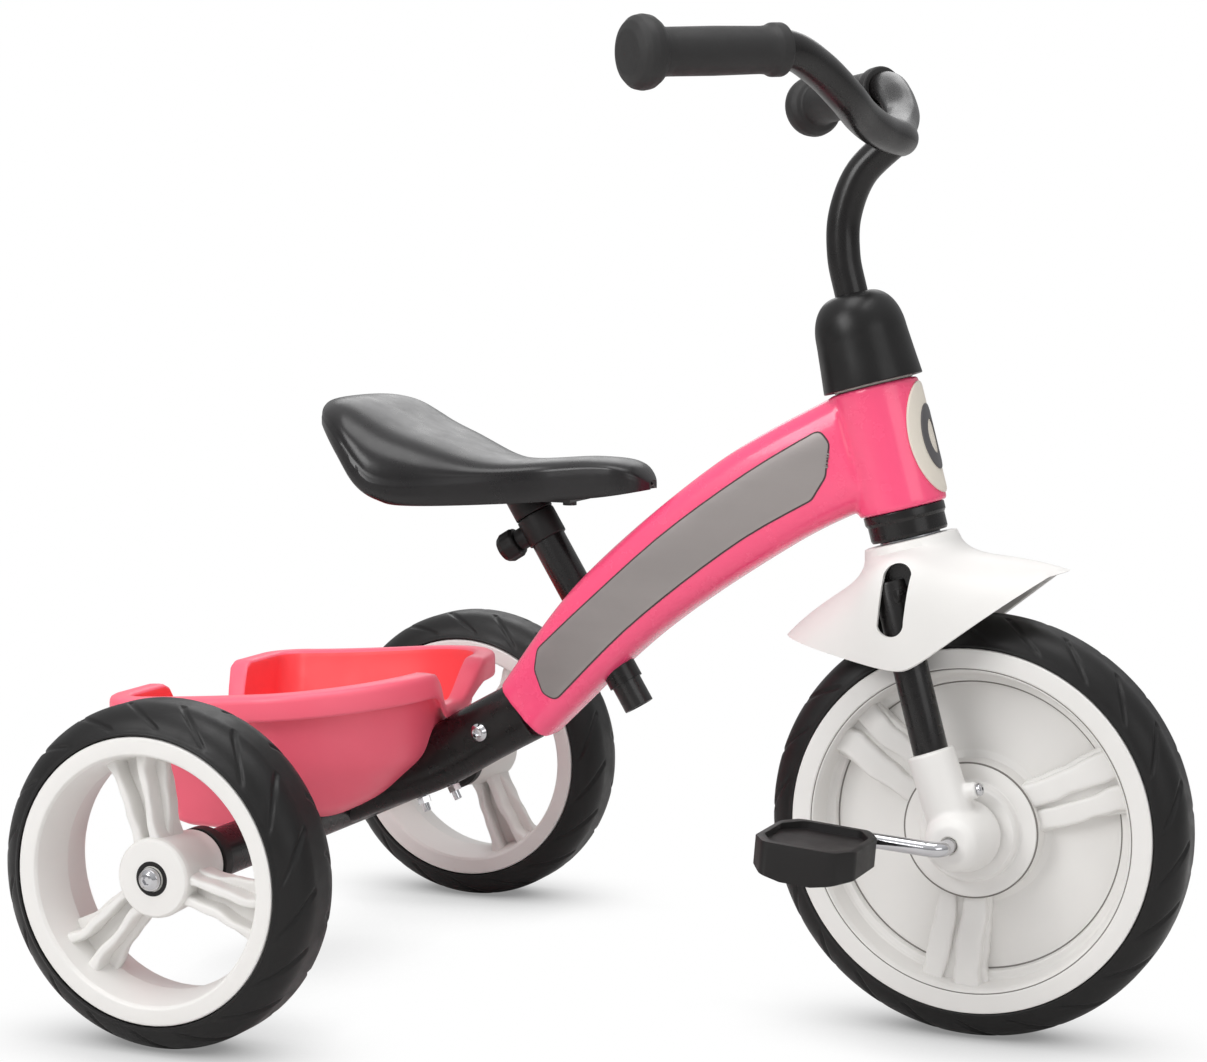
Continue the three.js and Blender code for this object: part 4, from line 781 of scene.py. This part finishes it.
# ---- Fork: crown, legs, fender and axle housings ----
a = np.linspace(0, 2 * math.pi, 72, endpoint=False)
crown = slab(np.column_stack([-2 + 16 * np.cos(a), 53 * np.sin(a)]), 141, 152)
show(ease(make("fork_crown_plate", crown, STEER), 2.5, 4, 50), GLOSS, "steering", "black_gloss", "fork_crown")
LEG_Y, LEG_BACK = 43, 5
for name, side in SIDES:
    y = side * LEG_Y
    leg = tube([(-LEG_BACK, y, 17), (-LEG_BACK, y, 60), (-LEG_BACK, y, 156)], 10.5, 48, 2)
    show(make("fork_leg_tube_" + name, leg, STEER), GLOSS, "steering", "black_gloss", "fork_leg_" + name)

    sleeve_foot = np.array([-1, y + side * 3, 4.0])
    sleeve_top = np.array([-LEG_BACK, y + side, 53.0])
    sleeve = tube([sleeve_foot, (sleeve_foot + sleeve_top) / 2, sleeve_top], 14.2, 64, 0.8)
    boss = [(0, 31), (22, 31), (22, 36), (20, 44), (17.5, 58), (15.4, 63), (11.2, 66.6), (0, 67.2)]
    knuckle = placed(lathe(fillet(boss, 2.5, 4), 96), TO_Y @ flipped(side))
    ear = tube([(6, y + side * 2, 26), (12, y + side * 2, 26), (17.8, y + side * 2, 26)], 5.2, 32, 0.8)
    obj = soften(make("axle_housing_moulding_" + name, together(sleeve, knuckle, ear), STEER), 0.8, 22, 0.5)
    bore = placed(lathe([(0, 60), (5.6, 60), (5.6, 80), (0, 80)], 32), TO_Y @ flipped(side))
    carve(obj, make("bore", bore, STEER))
    well = tube([(-LEG_BACK, y, 40), (-LEG_BACK, y, 60), (-LEG_BACK, y, 80)], 10.8, 48, 0.2)
    carve(obj, make("well", well, STEER))
    show(obj, WHITE, "steering", "white_plastic", "axle_housing_" + name, sharp=45)
    foot = moved([[0, y + side * 2, 26]], STEER)[0]
    profile = [(0, 12), (2, 12), (2, 18.0), (3.8, 18.0), (3.8, 20), (2.6, 21), (0, 21.1)]
    made, node = "housing_screw_dome_" + name, "housing_screw_" + name
    screw(made, foot, STEER[:3, 0], profile, "steering", "chrome", node, (1.3, 20, 24))

FENDER_TIP, FENDER_SIDE, FENDER_TOP = 90, 60, 175.5


def oval_reach(angle, along, across):
    """How far out an ellipse is at an angle."""
    return 1 / math.hypot(math.cos(angle) / along, math.sin(angle) / across)


def fender_line(angle, inset):
    """The fender's section at an angle round the steering axis: a collar, then a flare, or a bulge over each leg."""
    c, s, p = abs(math.cos(angle)), abs(math.sin(angle)), 1.6
    reach = 1 / ((c / FENDER_TIP) ** p + (s / FENDER_SIDE) ** p) ** (1 / p)
    ahead = reach * math.cos(angle) + LEG_BACK
    along = (math.hypot(ahead, 16) - 16) / (math.hypot(FENDER_TIP - 6, 16) - 16)
    points = [
        (29.2 - inset, 171 - inset),
        (oval_reach(angle, 31, 60) - inset, 154 + 17 * s**8 - inset),
        (oval_reach(angle, 56, 61) - inset, 157 - 5 * s**4 - inset),
        (reach - inset, 104 + 31.5 * min(1.04, along) ** 0.85),
    ]
    w = np.linspace(0, 1, 22)[:, None]
    p0, p1, p2, p3 = (np.array(q) for q in points)
    return (1 - w) ** 3 * p0 + 3 * w * (1 - w) ** 2 * p1 + 3 * w**2 * (1 - w) * p2 + w**3 * p3


rings = []
for angle in np.linspace(0, 2 * math.pi, 180, endpoint=False):
    outer, inner = fender_line(angle, 0), fender_line(angle, 2.6)[::-1]
    lip = (outer[-1] + inner[0]) / 2 + (outer[-1] - outer[-2]) * 0.12
    collar = [(15, FENDER_TOP), (26.6, FENDER_TOP), (28.0, 175.1), (28.5, 174)]
    section = np.vstack([collar, outer, [lip], inner, [(15, 168.4)]])
    rings.append(np.column_stack([section[:, 0] * math.cos(angle), section[:, 0] * math.sin(angle), section[:, 1]]))
fender = make("fender_shell", grid(rings, endless=True), STEER)


def leaning_pill(wide, high):
    """The outline of a fender slot, widened and heightened for the plates behind it."""
    points = []
    for t in np.linspace(0, 2 * math.pi, 49)[:-1]:
        x, z = (3.5, 157) if t < math.pi else (-6, 132)
        points.append((x + (8.5 + wide) * math.cos(t), z + (8 + high) * math.sin(t)))
    return points


for name, side in SIDES:
    low, high = sorted((-side * 43, -side * 80))
    carve(fender, make("pill", placed(slab(leaning_pill(0, 0), low, high), LIE), STEER))
    deep = slab(leaning_pill(5.5, 2), -side * 35, -side * 41.5)
    near = slab(leaning_pill(1, 0.5), -side * 41.5, -side * 45.5)
    cheek = make("fork_cheek_" + name, placed(together(deep, near), LIE), STEER)
    show(cheek, GLOSS, "steering", "black_gloss")
show(fender, WHITE, "steering", "white_plastic", "front_fender", sharp=42)

# ---- Handlebar ----
dome = [(10.6 + 17 * math.sin(t), 299 + 27 * math.cos(t) ** 0.9) for t in np.linspace(0, math.pi / 2, 26)[:-1]]
skirt = [(27.7, 299), (28.8, 286), (30.2, 270.7), (27.4, 270.7), (24.6, 300), (20, 314), (10.6, 322)]
cover = make("headset_cover", lathe(fillet([(10.6, 322)] + dome + skirt, 0.8), 128), BAR)
show(cover, CAP, "steering", "black_satin_plastic", "headset_cap", sharp=60)
stem_points = [(0, 0, 240), (0, 0, 290), (0, 0, 328), (1, 0, 350), (7.5, 0, 373), (23, 0, 394.5), (47, 0, 408)]
stem = tube(evenly(spline(stem_points, 90), 70), 10, 48)
show(make("stem_tube", stem, BAR), GLOSS, "steering", "black_gloss", "stem")
half_bar = [(50, 0, 408.5), (45.5, 28, 412), (41.8, 56, 420), (40.5, 84, 430.5), (34.5, 112, 446)]
grip_start, grip_end = np.array([20.1, 143, 457.5]), np.array([-37.4, 205, 466.7])
grip_dir = (grip_end - grip_start) / np.linalg.norm(grip_end - grip_start)
mirror = np.array([1, -1, 1])
in_grip = [grip_start - 8 * grip_dir, grip_start + 20 * grip_dir, grip_end - 6 * grip_dir]
left = [np.array(p, float) for p in half_bar] + in_grip
line = spline([p * mirror for p in left[:0:-1]] + left, 300)
show(make("handlebar_bar", tube(evenly(line, 200), 10.7, 48), BAR), GLOSS, "steering", "black_gloss", "handlebar_tube")
for name, side in SIDES:
    start, along = (grip_start, grip_dir) if side > 0 else (grip_start * mirror, grip_dir * mirror)
    neck = [(10.8, -4), (14.2, -4), (14.8, -3), (14.8, 3), (13.4, 6), (13.0, 10), (13.4, 40), (13.2, 70), (14, 76)]
    knob = [(17.5, 77.5), (19.8, 81), (20.4, 85), (19.6, 89), (17, 92), (12.5, 94), (6, 94.6), (0, 94.7)]
    rings_on = evenly(fillet(neck + knob, 1.6, 4), 160)
    obj = make("grip_sleeve_" + name, lathe(rings_on, 72), BAR @ onto(start, along))
    show(obj, GRIP, "steering", "grip_rubber", "grip_" + name, sharp=60)

# ---- Seat post, clamp, knob and saddle ----
POST_FOOT = np.array([149.7, 0, 288.9])


def on_post(distance):
    return POST_FOOT + POST_AXIS * distance


POST_AT = onto(POST_FOOT, POST_AXIS)
tube_side = ring_section(9.9, 11.1, -106, 11)
turned("seat_tube_sleeve", tube_side, GLOSS, "frame", "black_gloss", "seat_tube", at=POST_AT, round_by=0.3)
post_side = [(7.6, -108), (7.6, -123), (9.6, -123), (9.6, 19.5), (0, 19.5), (0, -108), (7.6, -108)]
turned("seat_post_bar", post_side, POST, "seat", "post_black", "seat_post", at=POST_AT, round_by=0.5)
knob_dir = np.array([-math.cos(POST_TILT), 0, -math.sin(POST_TILT)])
collar = lathe(fillet(ring_section(9.9, 12.6, -3, 15), 1.2), 72)
foot = on_post(6)
ear = tube([foot + knob_dir * d for d in (9, 13, 18)], 7, 40, 1)
clamp = make("seat_clamp_ring", together(placed(collar, POST_AT), ear))
show(clamp, SATIN, "frame", "black_satin_plastic", "seat_clamp")
knob = [(0, 14), (3, 14), (3, 18.5), (8.6, 18.5), (9.8, 20), (9.8, 27.5), (8, 31), (4, 32), (0, 32)]
points, faces = lathe(fillet(knob, 1.4, 4), 96)
spin = np.arctan2(points[:, 1], points[:, 0])
far = np.hypot(points[:, 0], points[:, 1])
flute = 1 - 0.05 * smooth_step(7, 9, far) * (0.5 + 0.5 * np.cos(spin * 9))
points = points * np.column_stack([flute, flute, np.ones(len(points))])
grip = make("seat_knob_grip", (points, faces), onto(foot, knob_dir))
show(grip, SATIN, "seat_knob", "black_satin_plastic", "seat_knob")
bracket = make("seat_bracket_socket", lathe(fillet([(0, 15.4), (12.6, 15.4), (12.6, 46), (0, 46)], 0.8), 72), POST_AT)
carve(bracket, make("top", slab([(60, -30), (240, -30), (240, 30), (60, 30)], 311.2, 380)))
show(bracket, SATIN, "seat", "black_satin_plastic", "seat_bracket")

SADDLE_REAR, SADDLE_TIP = 2.0, 223.0
top_points = [(2, 366), (10, 375), (36, 376), (76, 359), (125, 338.5), (185, 340), (212, 337), (223, 326)]
edge_points = [(2, 364), (20, 362), (36, 353), (50, 338), (62, 328)]
edge_points += [(80, 325), (100, 326), (150, 329), (200, 333), (223, 324)]
skirt_points = [(2, 360), (18, 355), (34, 341), (50, 323), (66, 314), (84, 310.5)]
skirt_points += [(140, 311), (190, 315.5), (223, 320.8)]
saddle_top, saddle_edge, saddle_skirt = (spline(p, 400) for p in (top_points, edge_points, skirt_points))


def saddle_half(x):
    """Half the saddle's width."""
    rear = 73 * math.sqrt(max(0, 1 - ((62 - min(x, 62)) / (62 - SADDLE_REAR + 0.3)) ** 2))
    waist = float(smooth_step(58, 165, x))
    tip = math.sqrt(max(0, 1 - (max(0, x - 200) / (SADDLE_TIP - 200 + 0.3)) ** 2))
    return (rear * (1 - waist) + 22 * waist) * tip


def saddle_section(x, inset):
    """The saddle across: its skirt, its edge and its dished top, or the same moved in for its inner face."""
    half = max(saddle_half(x) - inset, 0.8)
    top = np.interp(x, saddle_top[:, 0], saddle_top[:, 1]) - inset
    skirt = np.interp(x, saddle_skirt[:, 0], saddle_skirt[:, 1])
    edge = min(np.interp(x, saddle_edge[:, 0], saddle_edge[:, 1]), top - 1)
    dish = 6.0 * math.exp(-(((x - 62) / 42) ** 2))
    out = []
    for angle in np.linspace(0, math.pi, 61):
        y = half * math.cos(angle) * 0.985
        z = edge + (top - edge) * math.sin(angle) ** 0.8
        out.append((x, y, z - dish * max(0, 1 - (y / (0.8 * half)) ** 2) ** 1.5))
    low = skirt + (min(2.6, 0.5 * (edge - skirt)) if inset else 0)
    side = [(x, half * 0.965, low), (x, half * 0.985, low + 0.06 * (edge - low))]
    side += [(x, half, low + (edge - low) * w) for w in (0.2, 0.5, 0.75, 0.9)]
    return side + out + [(q[0], -q[1], q[2]) for q in side[::-1]]


t = np.linspace(0, 1, 150)
xs = SADDLE_REAR + 0.3 + (SADDLE_TIP - SADDLE_REAR - 0.6) * (0.25 * t + 0.75 * (1 - np.cos(math.pi * t)) / 2)
outside = [saddle_section(x, 0) for x in xs]
inside = np.interp(xs, [SADDLE_REAR, SADDLE_TIP], [SADDLE_REAR + 4, SADDLE_TIP - 4])
inner = [saddle_section(x, 3.4) for x in inside]
rings = [list(o) + list(i[::-1]) for o, i in zip(outside, inner)]
saddle = make("saddle_shell", grid(rings, caps=True))
show(saddle, SEAT, "seat", "black_gloss_plastic", "saddle", sharp=50)

# ---- Basket: one skin from the floor, up the wall, over the rim and down its turned skirt ----
B_REAR, B_FRONT, B_HALF, B_WALL = -101, 78, 110, 3
TUB_BOTTOM, TUB_FLOOR, RIM_REAR, RIM_RISE = 100.0, 103.0, 186.5, 16
# A height, and how far in its front, rear and sides are there
LEVELS = [(100, 78, 22, 33), (103, 66, 17, 29), (116, 41, 13, 25), (130, 24, 10, 21)]
LEVELS += [(146, 8, 7, 15), (165, 3, 3, 7), (190, 0, 0, 0), (215, -2, -1, -2)]
fine_levels = spline(LEVELS, 400)


def basket_plan(z):
    """The outline at a height, always with the same points round it."""
    front_in, rear_in, side_in = (np.interp(z, fine_levels[:, 0], fine_levels[:, k]) for k in (1, 2, 3))
    rear, front, half = B_REAR + rear_in, B_FRONT - front_in, B_HALF - side_in
    nose_x, nose_y, corner = (front - rear) * 0.42, half * 0.75, 18
    points = []
    spots = (
        (front - nose_x, half - nose_y, nose_x, nose_y, 0),
        (rear + corner, half - corner, corner, corner, 0.5),
        (rear + corner, corner - half, corner, corner, 1),
        (front - nose_x, nose_y - half, nose_x, nose_y, 1.5),
    )
    for cx, cy, rx, ry, begin in spots:
        for k in range(25):
            angle = math.pi * (begin + k / 48)
            points.append((cx + rx * math.cos(angle), cy + ry * math.sin(angle)))
    out = []
    for i, p in enumerate(points):
        q = points[(i + 1) % len(points)]
        parts = 36 if i % 25 == 24 else 1
        out += [(p[0] + (q[0] - p[0]) * k / parts, p[1] + (q[1] - p[1]) * k / parts) for k in range(parts)]
    return np.array(out)


top_plan = basket_plan(190)
ahead = np.roll(top_plan, -1, axis=0) - np.roll(top_plan, 1, axis=0)
plan_out = np.column_stack([ahead[:, 1], -ahead[:, 0]])
plan_out /= np.linalg.norm(plan_out, axis=1)[:, None]
rim_z = RIM_REAR + RIM_RISE * np.clip((top_plan[:, 0] - B_REAR) / (B_FRONT - B_REAR), 0, 1) ** 1.3
from_middle = np.abs(top_plan[:, 1])
rear_dip = (top_plan[:, 0] < B_REAR + 20) * (1 - smooth_step(36, 54, from_middle))
front_dip = (top_plan[:, 0] > B_FRONT - 35) * (1 - smooth_step(9, 36, from_middle))
rim_z = rim_z - 36 * rear_dip - (rim_z - 178) * front_dip
dip = np.maximum(rear_dip, front_dip)
STACK = np.array([basket_plan(z) for z in np.linspace(TUB_BOTTOM, 212, 225)])  # one each half millimetre


def wall_at(heights):
    """Each outline point's place at its own height."""
    row = np.clip((np.asarray(heights) - TUB_BOTTOM) * 2, 0, 223.999)
    low = row.astype(int)
    w = (row - low)[:, None]
    columns = np.arange(len(top_plan))
    return STACK[low, columns] * (1 - w) + STACK[low + 1, columns] * w


def hump(x, y):
    """Height of the tunnels over the spine and the axle tube."""
    middle = np.interp(x, spine_line[:, 0], spine_line[:, 1])
    ridge = middle + 26 * np.clip(1 - np.clip(np.abs(y) / 20.5, 0, 1) ** 2.8, 0, 1) ** (1 / 2.8)
    ridge = np.where((np.abs(y) < 20.5) & (x > -24), ridge, 0)
    bulge = REAR_R + np.sqrt(np.clip(19.4**2 - x**2, 0, None)) * (np.abs(x) < 19.4)
    bulge = np.where(np.abs(x) < 19.4, bulge, 0)
    return np.maximum(ridge, bulge)


def smooth_max(a, b, k=3.0):
    return 0.5 * (a + b + np.sqrt((a - b) ** 2 + k * k)) - 0.5 * k * np.exp(-np.abs(a - b) / k)


rows = []
middle = np.array([-25.0, 0.0])
inner_floor = wall_at(np.full(len(top_plan), TUB_FLOOR)) - plan_out * B_WALL
for k in range(1, 40):
    w = k / 40
    xy = middle * (1 - w) + inner_floor * w
    z = smooth_max(np.full(len(xy), TUB_FLOOR), hump(xy[:, 0], xy[:, 1]))
    rows.append(np.column_stack([xy, z]))
for k in range(0, 34):
    z0 = TUB_FLOOR + (rim_z - 2 - TUB_FLOOR) * (k / 33) ** 1.1
    xy = wall_at(z0) - plan_out * B_WALL
    z = np.maximum(z0, np.minimum(smooth_max(z0, hump(xy[:, 0], xy[:, 1]), 2.0), rim_z - 2))
    rows.append(np.column_stack([xy, z]))
inner_rows = len(rows)
rim_place = wall_at(rim_z)
over = [(-2.6, 0.8), (-1.4, 0.1), (1, 0), (5, 0.2), (8.4, 0.5), (10.0, 1.4), (10.8, 3.0), (11, 5), (11, 9), (11, 14)]
under = [(10.6, 15.4), (9.7, 16), (8.8, 15.4), (8.4, 14), (8.4, 8), (8.0, 5), (6.4, 3.6), (3, 3.2), (1, 3.6), (0.1, 6)]
for out, drop in over + under:
    rim_out = out * (1 - 0.25 * dip) if out > 1 else out
    rim_drop = drop * (1 - 0.45 * dip) if drop > 6 else drop
    rows.append(np.column_stack([rim_place + plan_out * np.reshape(rim_out, (-1, 1)), rim_z - rim_drop]))
for k in range(1, 30):
    z0 = (rim_z - 6) + (TUB_BOTTOM - (rim_z - 6)) * k / 29
    rows.append(np.column_stack([wall_at(z0), z0]))
floor_out = wall_at(np.full(len(top_plan), TUB_BOTTOM))
for w in (0.97, 0.9, 0.7, 0.5, 0.3, 0.1):
    bottom = np.full(len(floor_out), 99.6 if w < 0.95 else 99.8)
    rows.append(np.column_stack([middle * (1 - w) + floor_out * w, bottom]))
basket = make("basket_tub", grid(rows, caps=True))
show(basket, [CORAL, CORAL_PAINTED_SHADE], "frame", "coral_plastic", "basket", sharp=60)
# The inside rows take the darker coral copy, a painted shade.
for polygon in basket.data.polygons:
    if max(polygon.vertices) < inner_rows * len(top_plan):
        polygon.material_index = 1

# ---- CAD nodes that stay, most of them hidden inside, with a finish of their own ----
BUSHES = ("wheel_bush_outer", "wheel_bush_inner", "axle_bush")
KEPT = (
    (NYLON, ["upper_head_bush"] + ["%s_%s" % (b, n) for b in BUSHES for n, _ in SIDES]),
    (STEEL, ["rear_axle_rod", "steerer", "headset_nut"]),
    (POST, ["seat_plate", "saddle_screw_front", "saddle_screw_rear"]),
    (CHROME, ["spine_nut", "basket_nut_front", "basket_nut_rear"]),
)
for material, names in KEPT:
    for name in names:
        NODES[name].data.materials.clear()
        NODES[name].data.materials.append(material)

# ---- Floor, lights and camera ----
floor = make("floor", grid([[(x, y, 0) for x in (-6000, 6000)] for y in (-6000, 6000)], around=False))
# The floor seen by the camera glows white with a painted contact shadow: ambient occlusion darkens it near the
# tricycle. Other rays see a plain diffuse floor.
paper = bpy.data.materials.new("paper")
n = Nodes(paper)
shade = n.add("AmbientOcclusion", {"Distance": 0.12}, samples=24)
shadow = {"From Min": 0.15, "From Max": 0.86, "To Min": 0.25, "To Max": 1.0}
tone = n.add("MapRange", {"Value": shade.outputs["AO"], **shadow}).outputs["Result"]
grey = n.add("CombineColor", {"Red": tone, "Green": tone, "Blue": tone})
painted_shadow_glow = n.add("Emission", {"Color": grey.outputs["Color"], "Strength": 1.0})
white = n.add("BsdfDiffuse", {"Color": (0.7, 0.69, 0.68, 1)})
seen = n.add("LightPath")
mixed = n.add("MixShader", {0: seen.outputs["Is Camera Ray"], 1: white.outputs["BSDF"], 2: painted_shadow_glow.outputs["Emission"]})
n.add("OutputMaterial", {"Surface": mixed.outputs["Shader"]})
floor.data.materials.append(paper)

world = bpy.data.worlds.new("studio")
bpy.context.scene.world = world
n = Nodes(world)
seen = n.add("LightPath")
plain = n.add("Background", {"Color": (1, 1, 1, 1), "Strength": 1.0})
upwards = n.add("SeparateXYZ", {"Vector": n.add("TexCoord").outputs["Generated"]}).outputs["Z"]
level = n.add("MapRange", {"Value": upwards, "From Min": -0.1, "From Max": 0.9, "To Min": 0.3, "To Max": 0.8})
dim = n.add("Background", {"Color": (0.985, 0.99, 1.0, 1), "Strength": level.outputs["Result"]})
sky = {0: seen.outputs["Is Camera Ray"], 1: dim.outputs["Background"], 2: plain.outputs["Background"]}
n.add("OutputWorld", {"Surface": n.add("MixShader", sky).outputs["Shader"]})


def softbox(name, place, aim, width, height, power):
    """A lit panel that faces a point, in metres and watts."""
    light = bpy.data.lights.new(name, "AREA")
    light.shape, light.size, light.size_y, light.energy = "RECTANGLE", width, height, power
    obj = bpy.data.objects.new(name, light)
    bpy.context.scene.collection.objects.link(obj)
    obj.matrix_world = Matrix(onto(place, np.array(place, float) - np.array(aim, float)))


middle = (0.0, 0.0, 0.25)
softbox("softbox_top", (0.1, -0.3, 2.2), middle, 1.6, 1.2, 18)
softbox("softbox_left", (-1.0, -2.1, 1.5), middle, 1.1, 1.3, 27)
softbox("softbox_right", (2.1, -1.3, 1.0), middle, 0.9, 1.5, 6)
softbox("softbox_back", (-0.6, 1.9, 1.4), middle, 1.6, 0.9, 6)

# The camera fitted to the photo: metres from the foot of the rear axle, degrees, and millimetres of lens
EYE, DOWN, ROUND, LENS = (0.8673646, -1.605099, 0.477042), 6.026, 22.911, 83.458
camera = bpy.data.cameras.new("camera")
camera.sensor_width, camera.lens = 36, LENS
camera.clip_start, camera.clip_end = 0.05, 30
view = bpy.data.objects.new("camera", camera)
view.location = (EYE[0] + REAR_X * 0.001, EYE[1], EYE[2])
view.rotation_euler = (math.radians(90 - DOWN), 0, math.radians(ROUND))
bpy.context.scene.collection.objects.link(view)
bpy.context.scene.camera = view
bpy.context.scene.view_settings.view_transform = "Standard"
